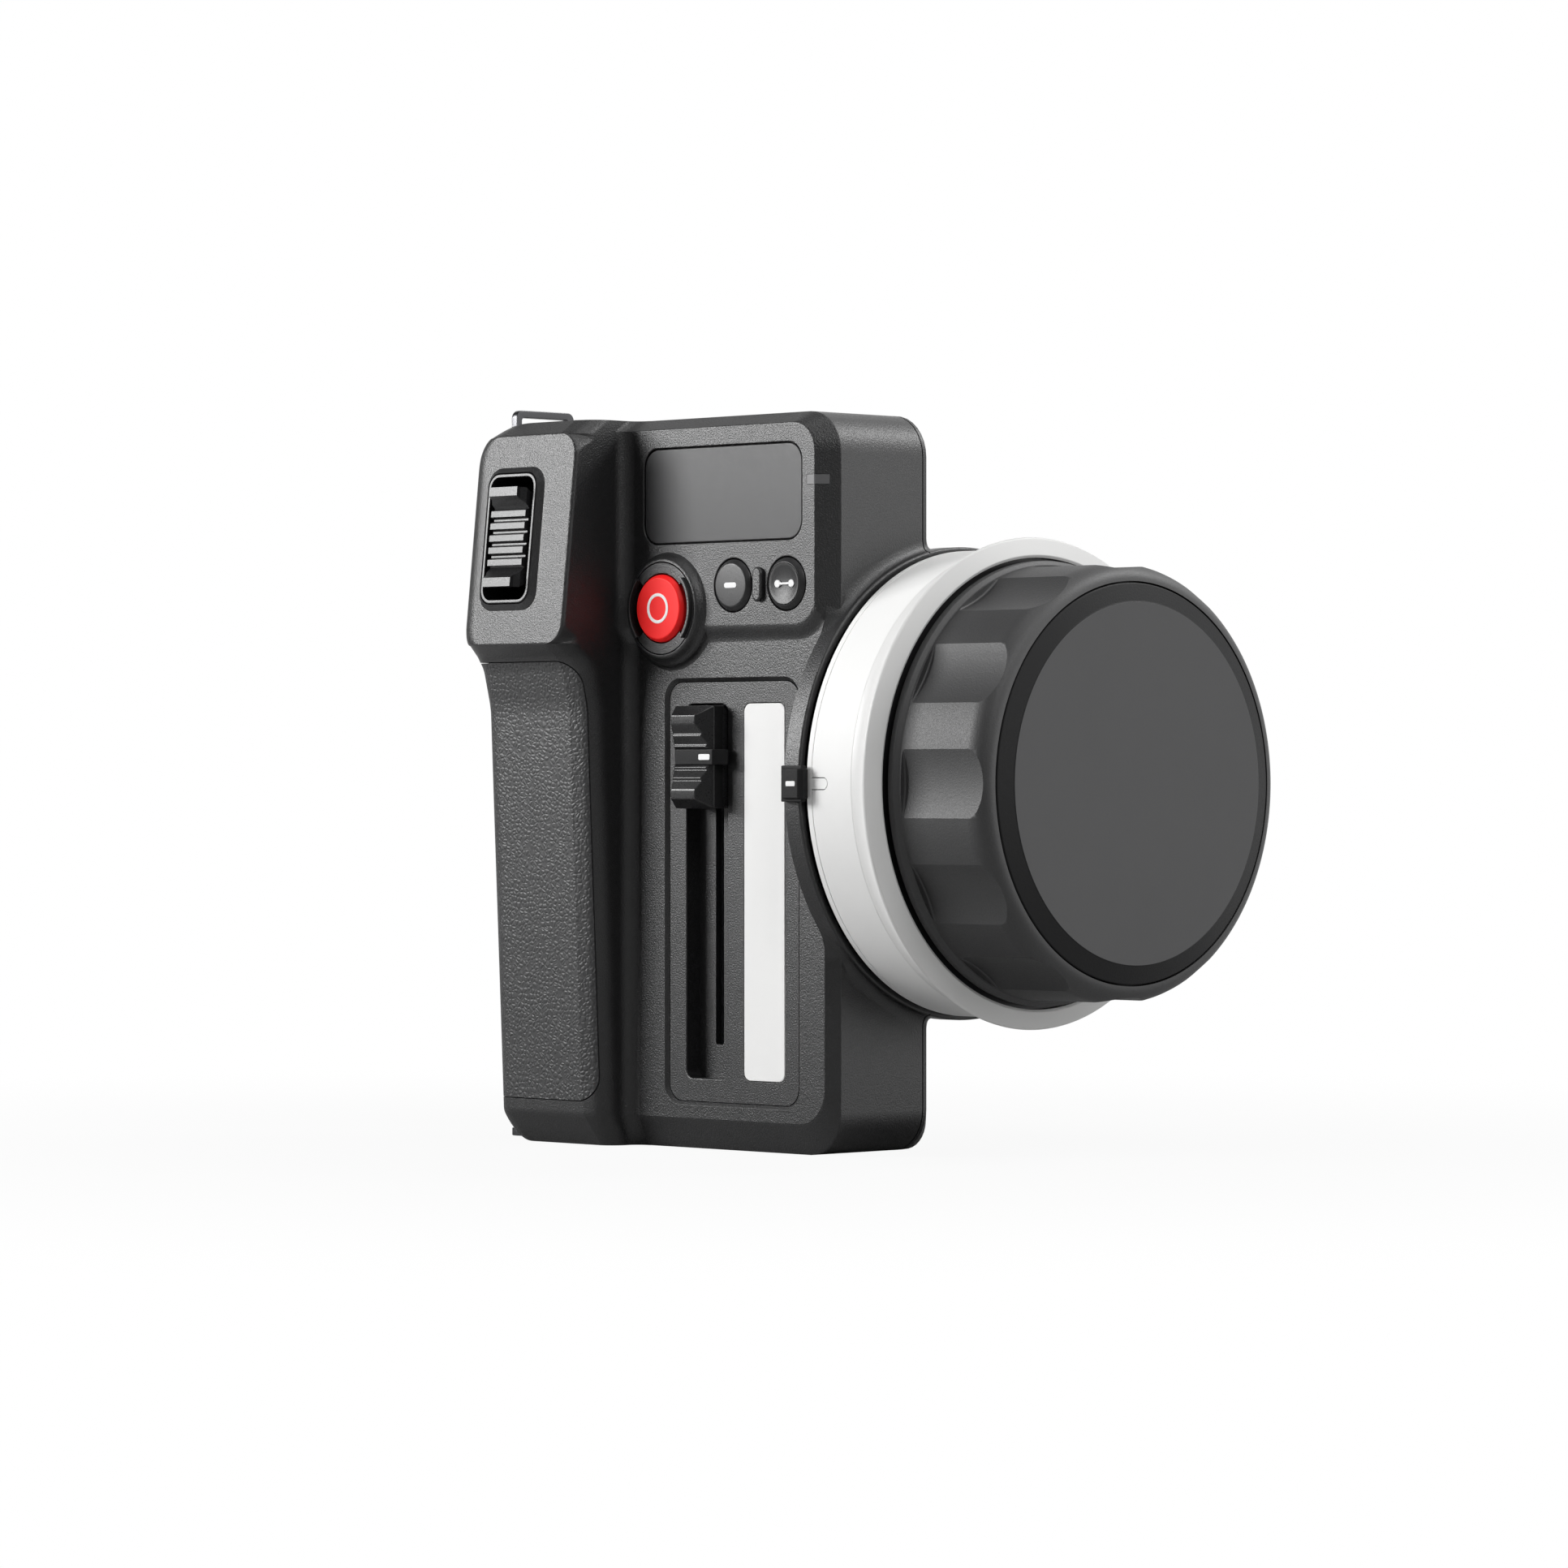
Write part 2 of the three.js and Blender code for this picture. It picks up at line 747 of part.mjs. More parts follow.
// Raised capsule between the two round keys.
function keyDivider() {
  const bottom = keyZ - dividerHeight / 2;
  const top = keyZ + dividerHeight / 2;
  const ring = (inset) =>
    roundedPoints(dividerX - dividerHalf + inset, dividerX + dividerHalf - inset, bottom + inset, top - inset,
      dividerHalf - inset);
  return loftToFront([[stepDepth, ring(0)], [0, ring(0)], [-dividerProud, ring(dividerHalf * 0.45)]]);
}

// The fixed ring that both shells carry round the wheel's base.
function baseRing() {
  return onAxle([
    [drumOpening, ringLeft],
    [ringRadius, ringLeft],
    [ringRadius, ringRight - capChamfer],
    [ringRadius - capChamfer, ringRight],
    [drumOpening, ringRight],
    [drumOpening, ringLeft],
  ]);
}

// The cove that blends the ring into the body's right side.
function ringCove() {
  const rise = ringRight - sideX;
  return common(
    onAxle([
      [ringRadius - overrun, sideX - overrun],
      [ringRadius + ringFillet, sideX - overrun],
      [ringRadius + ringFillet, sideX],
      [ringRadius + ringFillet * 0.45, sideX + rise * 0.12],
      [ringRadius + ringFillet * 0.12, sideX + rise * 0.4],
      [ringRadius, sideX + rise * 0.75],
      [ringRadius - overrun, sideX + rise * 0.75],
      [ringRadius - overrun, sideX - overrun],
    ]),
    plateY(bodyLeft, ringRight, 0, bodyHeight, cornerRight, sideX * 0.6, partingY),
  );
}

const halfFront = () =>
  box(bodyLeft - overrun, ringRight + overrun, -ringRadius, partingY, -overrun, bodyHeight + overrun);

const basePocket = () =>
  onAxle(discProfile(basePlateRadius + seamGap, basePlateRight - basePlateThickness, ringRight + overrun));
const axleOpening = (left) => onAxle(discProfile(drumOpening - coverWall, left, ringRight + overrun));

// The zone that the rubber pad fills, grown all round by a gap.
function padZone(grow) {
  const front = plateY(bodyLeft - overrun * 2, padRight + grow, padBottom - grow, padTop + grow, padCorner,
    -blockReach - overrun, padBackY + grow);
  const side = prismX(
    roundedPoints(-blockReach * 2, padBackY + grow, padBottom - grow, padTop + grow, padCorner),
    bodyLeft - overrun,
    padRight + grow,
  );
  return common(front, side);
}

const screwPlaces = [
  ["bottom_left", bodyLeft + screwInsetX, screwInsetZ],
  ["top_left", bodyLeft + screwInsetX, bodyHeight - screwInsetZ],
  ["bottom_right", sideX - screwRightInset, screwInsetZ],
  ["top_right", sideX - screwRightInset, bodyHeight - screwInsetZ],
];
const screwHeadY = coverBackY - coverWall;
const bossFrontY = screwHeadY - screwLength - clearGap;

// Shapes of the slider's window in the front shell and of the slot.
const panelFaceY = stepDepth + panelRecess;
const panelRing = (grow) =>
  roundedPoints(panelLeft - grow, panelRight + grow, panelBottom - grow, panelTop + grow, panelCorner + grow);
const slotX = (slotLeft + slotRight) / 2;
const slotFloorY = panelFaceY + slotDepth;

// Plate of a strap lug, drawn in its own plane from [u0, u1] x [v0, v1], with the slot for the strap.
function lugOutline(u0, u1, v0, v1, slotFrom, slotTo) {
  const outer = roundedPoints(u0, u1, v0, v1, lugCorner);
  const slot = roundedPoints(u0 + lugBar, u1 - lugBar, slotFrom, slotTo, lugCorner * 0.3);
  return { outer, slot };
}

function topLug(grow = 0) {
  const { outer, slot } = lugOutline(topLugFront, topLugBack, bodyHeight - lugFoot, bodyHeight + topLugRise,
    bodyHeight - lugFoot / 2, bodyHeight + topLugRise - lugBar);
  const x0 = topLugX - lugThickness / 2 - grow;
  const x1 = topLugX + lugThickness / 2 + grow;
  if (grow)
    return box(x0, x1, topLugFront - grow, topLugBack + grow, bodyHeight - lugFoot - grow, bodyHeight + overrun);
  return cut(prismX(outer, x0, x1), prismX(slot, x0 - overrun, x1 + overrun));
}

function bottomLug(grow = 0) {
  const right = bottomLugLeft + bottomLugReachIn;
  const z0 = bottomLugBottom - grow;
  const z1 = bottomLugBottom + lugThickness + grow;
  if (grow) return box(bottomLugLeft, right + grow, bottomLugFront - grow, bottomLugBack + grow, z0, z1);
  const outer = roundedPoints(bottomLugLeft, right, bottomLugFront, bottomLugBack, lugCorner);
  const slot = roundedPoints(bottomLugLeft + lugBar, right - lugBar * 2, bottomLugFront + lugBar,
    bottomLugBack - lugBar, lugCorner * 0.3);
  return cut(prismZ(outer, z0, z1), prismZ(slot, z0 - overrun, z1 + overrun));
}

const portBottomZ = portZ - portHeight / 2;
const flap = (grow, y0, y1) =>
  plateY(portX - flapWidth / 2 - grow, portX + flapWidth / 2 + grow, portZ - flapHeight / 2 - grow,
    portZ + flapHeight / 2 + grow, flapCorner, y0, y1);
const portBody = (grow, y0, y1) =>
  plateY(portX - portWidth / 2 - grow, portX + portWidth / 2 + grow, portBottomZ - grow,
    portBottomZ + portHeight + grow, portHeight * 0.45, y0, y1);

// Front shell

const keyPlaces = [
  ["m", mKeyX],
  ["ab", abKeyX],
];
const keyFlangeY = wallThickness + clearGap;
const keyStemEnd = keyFlangeY + keyFlangeThickness + keyStemLength;
const recFlangeY = wallThickness * 2 + clearGap;
const recStemEnd = keyStemEnd + keyFlangeThickness;
const boardFaceY = keyStemEnd + keyTravel + seamGap + switchHeight;
// The status light's bar, let into the panel's edge, and the stem that brings the light to it.
const lightBar = (grow) => {
  const zFrom = lightBottom - grow;
  const zTo = lightTop + grow;
  const bar = box(-lightReach - grow, sideX + overrun, -overrun, lightWrap + grow, zFrom, zTo);
  const stem = box(-lightReach - grow, -lightReach + lightStem + grow, 0, lightDepth + grow, zFrom, zTo);
  return join(bar, stem);
};

function frontForm() {
  const form = inOutline(join(slab(), column()));
  const ringFront = common(baseRing(), halfFront());
  return join(form, rockerFrame(), recordBoss(), keyDivider(), ringFront, ringCove());
}

function bodyCavity() {
  const left = bodyLeft + wallThickness;
  const inner = sideX - wallThickness - ringLeft;
  const main = plateY(left, inner, wallThickness, bodyHeight - wallThickness, cornerRight - wallThickness,
    stepDepth + wallThickness, partingY + overrun);
  const gripWall = padThickness + wallThickness;
  const gripRoom = box(left + padThickness, wallX - wallThickness, -gripReach * 0.7 + gripWall, partingY,
    padBottom + wallThickness, padTop - wallThickness);
  return join(main, gripRoom);
}

function screwBosses() {
  const bosses = screwPlaces.map(([, x, z]) =>
    prismY(circlePoints(x, z, screwBossRadius, smallSteps), stepDepth + wallThickness / 2, partingY));
  const footBoss = prismZ(circlePoints(tripodX, tripodY, tripodOuter + wallThickness), wallThickness / 2,
    tripodDepth + wallThickness);
  return join(footBoss, ...bosses);
}

function frontShell(form) {
  const bezelWell = placedOnFace(
    faceBlock(bezelWidth + seamGap * 2, bezelHeight + seamGap * 2, bezelCorner, -frameRise - overrun,
      bezelDepth + clearGap));
  const sensorWell = placedOnFace(
    box(-sensorHalf - clearGap, sensorHalf + clearGap, bezelDepth - overrun, blockReach + overrun,
      -sensorHalf - clearGap, sensorHalf + clearGap));
  const tubWall = placedOnFace(
    faceBlock(bezelWidth + wallThickness * 2, bezelHeight + wallThickness * 2, bezelCorner, 0,
      bezelDepth + wallThickness));
  const windowPocket = plateY(windowLeft, windowRight, windowBottom, windowTop, windowCorner, -overrun,
    windowInset + windowThickness + seamGap);
  const windowHole = plateY(windowLeft + windowLedge, windowRight - windowLedge, windowBottom + windowLedge,
    windowTop - windowLedge, windowCorner / 2, -overrun, partingY);
  const keyHoles = keyPlaces.map(([, x]) =>
    prismY(circlePoints(x, keyZ, keyHoleRadius, smallSteps * 2), -overrun, keyFlangeY + overrun));
  const keyRooms = keyPlaces.map(([, x]) =>
    prismY(circlePoints(x, keyZ, keyHoleRadius + keyFlange + clearGap, smallSteps), wallThickness, partingY));
  const recHole = prismY(circlePoints(recX, recZ, recCollarRadius + seamGap, smallSteps * 2),
    -recFace - overrun, partingY);
  const panelMouth = loftToFront([
    [panelFaceY, panelRing(0)],
    [stepDepth - panelRecess, panelRing(panelRecess * 2)],
  ]);
  const panelHole = plateY(panelLeft, panelRight, panelBottom, panelTop, panelCorner, 0, partingY);
  const strapHoles = [topLug(seamGap), bottomLug(seamGap)];
  const screwHoles = screwPlaces.map(([, x, z]) =>
    prismY(circlePoints(x, z, screwRadius + seamGap, smallSteps / 2), bossFrontY, partingY + overrun));
  const tripodHole = prismZ(circlePoints(tripodX, tripodY, tripodOuter + seamGap), -overrun, tripodDepth + clearGap);
  const walls = join(cut(form, bodyCavity()), common(tubWall, form), common(screwBosses(), form));
  return cut(
    walls,
    cut(padZone(seamGap), column(padThickness + seamGap)),
    bezelWell,
    sensorWell,
    windowPocket,
    windowHole,
    ...keyHoles,
    ...keyRooms,
    recHole,
    panelMouth,
    panelHole,
    lightBar(seamGap),
    basePocket(),
    axleOpening(ringLeft - overrun * 2),
    ...strapHoles,
    ...screwHoles,
    tripodHole,
  );
}

const form = frontForm();
add("front_shell", frontShell(form), mouldedBlack);

add("grip_pad", cut(common(inOutline(column()), padZone(0)), column(padThickness)), gripRubber);

// Rear cover

function rearCover() {
  const back = roundedPoints(bodyLeft + coverBevel, sideX - coverBevel, 0, bodyHeight - coverBevel, coverCorner);
  const outer = loftToFront([
    [coverBackY, back],
    [partingY + coverLip, bodyOutline],
    [partingY, bodyOutline],
  ]);
  const w = coverWall;
  const room = loftToFront([
    [coverBackY - w, roundedPoints(bodyLeft + coverBevel + w, sideX - coverBevel - w, w,
      bodyHeight - coverBevel - w, coverCorner - w)],
    [partingY - overrun, roundedPoints(bodyLeft + w, sideX - w - ringLeft, w, bodyHeight - w, cornerRight - w)],
  ]);
  const drum = onAxle([
    [0, drumLeft],
    [drumRadius - drumBevel, drumLeft],
    [drumRadius - drumBevel * 0.3, drumLeft + drumBevel * 0.3],
    [drumRadius, drumLeft + drumBevel],
    [drumRadius, ringLeft],
    [0, ringLeft],
  ]);
  const drumRoom = onAxle([
    [0, drumLeft + w],
    [drumRadius - drumBevel - w * 0.4, drumLeft + w],
    [drumRadius - drumBevel * 0.3 - w, drumLeft + drumBevel * 0.3 + w * 0.6],
    [drumRadius - w, drumLeft + drumBevel + w * 0.4],
    [drumRadius - w, ringLeft - w],
    [0, ringLeft - w],
  ]);
  const behind = box(bodyLeft - overrun, ringRight + overrun, partingY, wheelY + ringRadius * 2, -overrun,
    bodyHeight + overrun);
  const posts = screwPlaces.map(([, x, z]) =>
    prismY(circlePoints(x, z, screwBossRadius), partingY, coverBackY - w / 2));
  const boardPosts = boardPostPlaces().map(([x, z]) =>
    prismY(circlePoints(x, z, postRadius), boardFaceY + boardThickness, coverBackY - w / 2));
  const shellWalls = cut(join(outer, common(join(drum, baseRing()), behind)), room, drumRoom);
  const screwCuts = screwPlaces.flatMap(([, x, z]) => [
    prismY(circlePoints(x, z, screwRadius + seamGap, smallSteps / 2), partingY - overrun, coverBackY + overrun),
    prismY(circlePoints(x, z, screwHeadRadius + seamGap), screwHeadY, coverBackY + overrun),
  ]);
  const portWall = portBody(coverWall / 2, partingY + coverWall, coverBackY - w / 2);
  return cut(
    join(shellWalls, ...posts.map((p) => common(p, outer)), ...boardPosts, portWall),
    ...screwCuts,
    basePocket(),
    axleOpening(ringLeft - w - overrun),
    flap(seamGap, coverBackY - flapThickness - seamGap, coverBackY + overrun),
    portBody(seamGap, partingY, coverBackY),
  );
}

function boardPostPlaces() {
  const width = boardRight - boardLeft;
  const height = boardTop - boardBottom;
  return [
    [boardLeft + width * postShareX, boardBottom + height * postShareZ],
    [boardRight - width * postShareX, boardTop - height * postShareZ],
    [boardLeft + width * postShareX, boardTop - height * postShareZ],
  ];
}

add("rear_cover", rearCover(), mouldedBlack);

for (const [place, x, z] of screwPlaces) {
  const head = prismY(circlePoints(x, z, screwHeadRadius), screwHeadY, screwHeadY + screwHead);
  const shank = prismY(circlePoints(x, z, screwRadius, smallSteps / 2), screwHeadY - screwLength, screwHeadY);
  const slot = box(x - screwRadius, x + screwRadius, screwHeadY + screwHead / 2, screwHeadY + screwHead * 2,
    z - screwRadius / 3, z + screwRadius / 3);
  add(`cover_screw_${place}`, cut(join(head, shank), slot), steel);
}

add("port_cover", flap(0, coverBackY - flapThickness, coverBackY), gripRubber);
const portFront = coverBackY - flapThickness - clearGap;
add(
  "usb_port",
  cut(
    portBody(0, portFront - portDepth, portFront),
    plateY(portX - portWidth * 0.42, portX + portWidth * 0.42, portZ - portHeight * 0.35, portZ + portHeight * 0.35,
      portHeight * 0.3, portFront - portDepth * 0.8, portFront + overrun),
  ),
  steel,
);

add(
  "tripod_insert",
  cut(
    prismZ(circlePoints(tripodX, tripodY, tripodOuter), seamGap, tripodDepth),
    prismZ(circlePoints(tripodX, tripodY, tripodBore), -overrun, tripodDepth - wallThickness / 2),
  ),
  steel,
);

add("top_strap_lug", topLug(), satinMetal);
add("bottom_strap_lug", bottomLug(), satinMetal);

// Display and status light

const windowBackY = windowInset + windowThickness;
add(
  "display_window",
  plateY(windowLeft + seamGap, windowRight - seamGap, windowBottom + seamGap, windowTop - seamGap,
    windowCorner - seamGap, windowInset, windowBackY),
  glossGlass,
);
const moduleInset = windowLedge + clearGap;
add(
  "display_module",
  plateY(windowLeft + moduleInset, windowRight - moduleInset, windowBottom + moduleInset, windowTop - moduleInset,
    windowCorner / 2, windowBackY + seamGap, windowBackY + seamGap + moduleThickness),
  boardGreen,
);
add("light_pipe", common(form, lightBar(0)), frosted);

// Keys and their switches

function roundKey(x, dished) {
  const radius = keyHoleRadius - keyGap;
  const top = [
    [radius - keyBevel, -keyProud],
    [radius, -keyProud + keyBevel],
  ];
  const dish = dished
    ? [
        [0, -keyProud + keyDish],
        [(radius - keyBevel) * 0.4, -keyProud + keyDish * 0.82],
        [(radius - keyBevel) * 0.7, -keyProud + keyDish * 0.45],
        [radius - keyBevel * 1.5, -keyProud],
      ]
    : [[0, -keyProud]];
  return facingFront(
    [
      ...dish,
      ...top,
      [radius, keyFlangeY],
      [radius + keyFlange, keyFlangeY],
      [radius + keyFlange, keyFlangeY + keyFlangeThickness],
      [keyStemRadius, keyFlangeY + keyFlangeThickness],
      [keyStemRadius, keyStemEnd],
      [0, keyStemEnd],
    ],
    x,
    keyZ,
  );
}

const keySeatY = -keyProud - markProud;
const mMark = (grow) =>
  plateY(mKeyX - keyHoleRadius * 0.32 - grow, mKeyX + keyHoleRadius * 0.32 + grow, keyZ - keyHoleRadius * 0.1 - grow,
    keyZ + keyHoleRadius * 0.1 + grow, keyHoleRadius * 0.1, keySeatY, -keyProud + markProud * 3);
add("m_button", cut(roundKey(mKeyX, false), mMark(seamGap / 6)), keyPlastic);
add("m_mark", mMark(0), whitePlastic);

// Two dots joined by a thin line, laid in the dished key.
function abMark(grow) {
  const dotX = keyHoleRadius * 0.36;
  const dotRadius = keyHoleRadius * 0.14 + grow;
  const line = keyHoleRadius * 0.04 + grow;
  const y0 = -keyProud + markProud;
  const y1 = -keyProud + keyDish * 2;
  return join(
    prismY(circlePoints(abKeyX - dotX, keyZ, dotRadius), y0, y1),
    prismY(circlePoints(abKeyX + dotX, keyZ, dotRadius), y0, y1),
    box(abKeyX - dotX, abKeyX + dotX, y0, y1, keyZ - line, keyZ + line),
  );
}
add("ab_button", cut(roundKey(abKeyX, true), abMark(seamGap / 6)), keyPlastic);
add("ab_mark", abMark(0), whitePlastic);

// The collar has a broad low face above and below the key and a raised crescent at each side.
function recordCollar() {
  const base = facingFront(ringProfile(recCollarBore, recCollarRadius, -recArcFace, wallThickness * 2), recX, recZ);
  const crescents = facingFront(ringProfile(recCrescentBore, recCrescentRadius, -recFace, wallThickness * 2), recX, recZ);
  const relief = facingFront(discProfile(recCrescentBore, -recFace - overrun, wallThickness), recX, recZ);
  const reach = recCollarRadius * 2;
  const half = THREE.MathUtils.degToRad(recCrescentAngle);
  const wedge = (side) =>
    prismY(
      side > 0
        ? [[recX, recZ], [recX + reach * Math.cos(half), recZ - reach * Math.sin(half)],
            [recX + reach * Math.cos(half), recZ + reach * Math.sin(half)]]
        : [[recX, recZ], [recX - reach * Math.cos(half), recZ + reach * Math.sin(half)],
            [recX - reach * Math.cos(half), recZ - reach * Math.sin(half)]],
      -recFace - overrun,
      wallThickness * 3,
    );
  const sides = join(wedge(1), wedge(-1));
  const sunk = cut(base, common(relief, sides));
  return join(sunk, common(crescents, sides));
}
add("rec_collar", recordCollar(), mouldedBlack);

const recShaftRadius = recCollarBore - keyGap;
function recordKey() {
  return facingFront(
    [
      [0, -recFace],
      [recRadius - recBevel, -recFace],
      [recRadius, -recFace + recBevel],
      [recShaftRadius, 0],
      [recShaftRadius, recFlangeY],
      [recShaftRadius + keyFlange, recFlangeY],
      [recShaftRadius + keyFlange, recFlangeY + keyFlangeThickness],
      [keyStemRadius, recFlangeY + keyFlangeThickness],
      [keyStemRadius, recStemEnd],
      [0, recStemEnd],
    ],
    recX,
    recZ,
  );
}
const recordMark = (grow) =>
  facingFront(
    ringProfile(recMarkRadius - recMarkWidth / 2 - grow, recMarkRadius + recMarkWidth / 2 + grow,
      -recFace - markProud, -recFace + markProud * 3),
    recX,
    recZ,
    smallSteps,
  );
add("rec_button", cut(recordKey(), recordMark(seamGap / 6)), redPlastic);
add("rec_mark", recordMark(0), whitePlastic);

add(
  "main_board",
  cut(
    box(boardLeft, boardRight, boardFaceY, boardFaceY + boardThickness, boardBottom, boardTop),
    ...screwPlaces.map(([, x, z]) =>
      prismY(circlePoints(x, z, screwBossRadius + clearGap), boardFaceY - overrun, boardFaceY + overrun * 2)),
  ),
  boardGreen,
);
const switchPlaces = [
  ["rec_switch", recX, recZ, recStemEnd],
  ["m_switch", mKeyX, keyZ, keyStemEnd],
  ["ab_switch", abKeyX, keyZ, keyStemEnd],
];
for (const [name, x, z, stemEnd] of switchPlaces)
  add(
    name,
    box(x - switchHalf, x + switchHalf, stemEnd + keyTravel + seamGap, boardFaceY, z - switchHalf, z + switchHalf),
    steel,
  );

// Slider panel with its slot, the strip to write on, and the sliding thumb piece

function sliderPanel() {
  const plate = plateY(panelLeft + seamGap, panelRight - seamGap, panelBottom + seamGap, panelTop - seamGap,
    panelCorner, panelFaceY, panelFaceY + panelThickness);
  const trough = plateY(slotLeft - slotWall, slotRight + slotWall, slotBottom - slotWall, slotTop + slotWall,
    slotCorner + slotWall, panelFaceY + panelThickness / 2, slotFloorY + slotWall);
  const slot = plateY(slotLeft, slotRight, slotBottom, slotTop, slotCorner, 0, slotFloorY);
  const slit = box(slotX - slitHalf, slotX + slitHalf, 0, slotFloorY + overrun * 2, slitBottom, slitTop);
  const stripPocket = plateY(stripLeft - seamGap, stripRight + seamGap, slotBottom - seamGap, slotTop + seamGap,
    stripCorner, 0, panelFaceY + stripThickness);
  return cut(join(plate, trough), slot, slit, stripPocket);
}
add("slider_panel", sliderPanel(), mouldedBlack);

add(
  "marking_strip",
  plateY(stripLeft, stripRight, slotBottom, slotTop, stripCorner, panelFaceY - stripProud,
    panelFaceY + stripThickness - seamGap / 2),
  whitePlastic,
);

const thumbTop = slotTop - clearGap;
const thumbBottom = thumbTop - thumbHeight;
const thumbZ = (thumbTop + thumbBottom) / 2;
const thumbHalfWidth = (slotRight - slotLeft) / 2 - thumbSideGap;

// The thumb piece's front in its own (y, z) plane: two ridges with steps down to the valley between them.
function thumbProfile() {
  const half = thumbHeight / 2;
  const tip = half - thumbTipInset;
  const drop = thumbRidgeReach - thumbValleyReach;
  const upper = [
    [-thumbShoulderReach, half],
    [-thumbRidgeReach, tip],
    [-thumbRidgeReach, tip - thumbRidgeFace],
    [-thumbRidgeReach + drop * 0.5, tip - thumbRidgeFace - drop * 0.7],
    [-thumbRidgeReach + drop * 0.35, tip - thumbRidgeFace - drop * 0.85],
    [-thumbRidgeReach + drop * 0.85, tip - thumbRidgeFace - drop * 1.5],
    [-thumbRidgeReach + drop * 0.7, tip - thumbRidgeFace - drop * 1.65],
    [-thumbValleyReach, tip - thumbRidgeFace - drop * 1.9],
  ];
  const lower = upper.map(([y, z]) => [y, -z]).reverse();
  const back = panelFaceY - thumbLift;
  return [[back, half], ...upper, ...lower, [back, -half]].map(([y, z]) => [y, z + thumbZ]);
}

const armFaceY = -armReach;
const armMark = (grow) => {
  const right = armRight - armTaper - armMarkInset;
  return plateY(right - armMarkWidth - grow, right + grow, thumbZ - armMarkHeight / 2 - grow,
    thumbZ + armMarkHeight / 2 + grow, armMarkHeight * 0.25, armFaceY - markProud, armFaceY + markProud * 4);
};

function sliderThumb() {
  const block = prismX(thumbProfile(), slotX - thumbHalfWidth, slotX + thumbHalfWidth);
  // Sides that slope in from the shoulder to the ridges, as an outline in (x, y) drawn along Z.
  const ridge = thumbRidgeWidth / 2;
  const sides = prismZ(
    [
      [slotX - thumbHalfWidth, slotFloorY],
      [slotX - thumbHalfWidth, -thumbShoulderReach],
      [slotX - ridge, -thumbRidgeReach - seamGap],
      [slotX + ridge, -thumbRidgeReach - seamGap],
      [slotX + thumbHalfWidth, -thumbShoulderReach],
      [slotX + thumbHalfWidth, slotFloorY],
    ],
    thumbBottom,
    thumbTop,
  );
  const neck = plateY(slotX - thumbHalfWidth, slotX + thumbHalfWidth, thumbBottom, thumbTop, slotCorner,
    panelFaceY - thumbLift * 2, slotFloorY - clearGap);
  const stem = box(slotX - stemSide, slotX + stemSide, slotFloorY - overrun, slotFloorY + slotWall + stemIntoTrack,
    thumbZ - stemHalf, thumbZ + stemHalf);
  const arm = prismZ(
    [
      [slotX - thumbValleyWidth / 2, armFaceY],
      [armRight - armTaper, armFaceY],
      [armRight, armFaceY + armTaper * 2],
      [armRight, stepDepth - clearGap],
      [slotX - thumbValleyWidth / 2, stepDepth - clearGap],
    ],
    thumbZ - armHalf,
    thumbZ + armHalf,
  );
  return cut(join(common(block, sides), neck, stem, arm), armMark(seamGap / 6));
}
add("slider_thumb", sliderThumb(), mouldedBlack);
add("slider_mark", armMark(0), whitePlastic);

const potFrontY = slotFloorY + slotWall;
add(
  "slide_potentiometer",
  cut(
    box(slotX - potWidth / 2, slotX + potWidth / 2, potFrontY, potFrontY + potDepth, slotBottom, slotTop),
    box(slotX - slitHalf, slotX + slitHalf, potFrontY - overrun, potFrontY + potGroove, slitBottom - clearGap,
      slitTop + clearGap),
  ),
  satinMetal,
);

// Thumb rocker, its tub, pin and sensor, made square to the leaning face and then placed on it

function rockerBezel() {
  const inner = bezelRim * 2;
  const tub = faceBlock(bezelWidth, bezelHeight, bezelCorner, -frameRise, bezelDepth);
  const room = faceBlock(bezelWidth - inner, bezelHeight - inner, bezelCorner - bezelRim, -frameRise - overrun,
    bezelDepth - bezelFloor);
  const pinHole = prismX(circlePoints(pinDepth, 0, pinRadius + seamGap / 4), -bezelWidth, bezelWidth);
  return placedOnFace(cut(tub, room, pinHole));
}
add("rocker_bezel", rockerBezel(), mouldedBlack);

function rockerProfile() {
  const ribs = [];
  const first = ((rockerRibCount - 1) / 2) * rockerRibPitch;
  for (let i = 0; i < rockerRibCount; i++) {
    const z = first - i * rockerRibPitch;
    ribs.push(
      [-rockerRibReach + rockerRibDepth, z + rockerRibPitch * 0.45],
      [-rockerRibReach, z + rockerRibFace / 2],
      [-rockerRibReach, z - rockerRibFace / 2],
      [-rockerRibReach + rockerRibDepth, z - rockerRibPitch * 0.4],
    );
  }
  const tipBottom = rockerHalf - rockerTipFace;
  return [
    [rockerBack, rockerHalf * 0.8],
    [-rockerTipReach * 0.5, rockerHalf],
    [-rockerTipReach, rockerHalf],
    [-rockerTipReach, tipBottom],
    [-rockerTipReach * 0.6, tipBottom - rockerTipFace * 0.5],
    ...ribs,
    [-rockerTipReach * 0.6, -tipBottom + rockerTipFace * 0.5],
    [-rockerTipReach, -tipBottom],
    [-rockerTipReach, -rockerHalf],
    [-rockerTipReach * 0.5, -rockerHalf],
    [rockerBack, -rockerHalf * 0.8],
    [pinDepth + rockerHubRadius, -rockerHubRadius],
    [pinDepth + rockerHubRadius, rockerHubRadius],
  ];
}

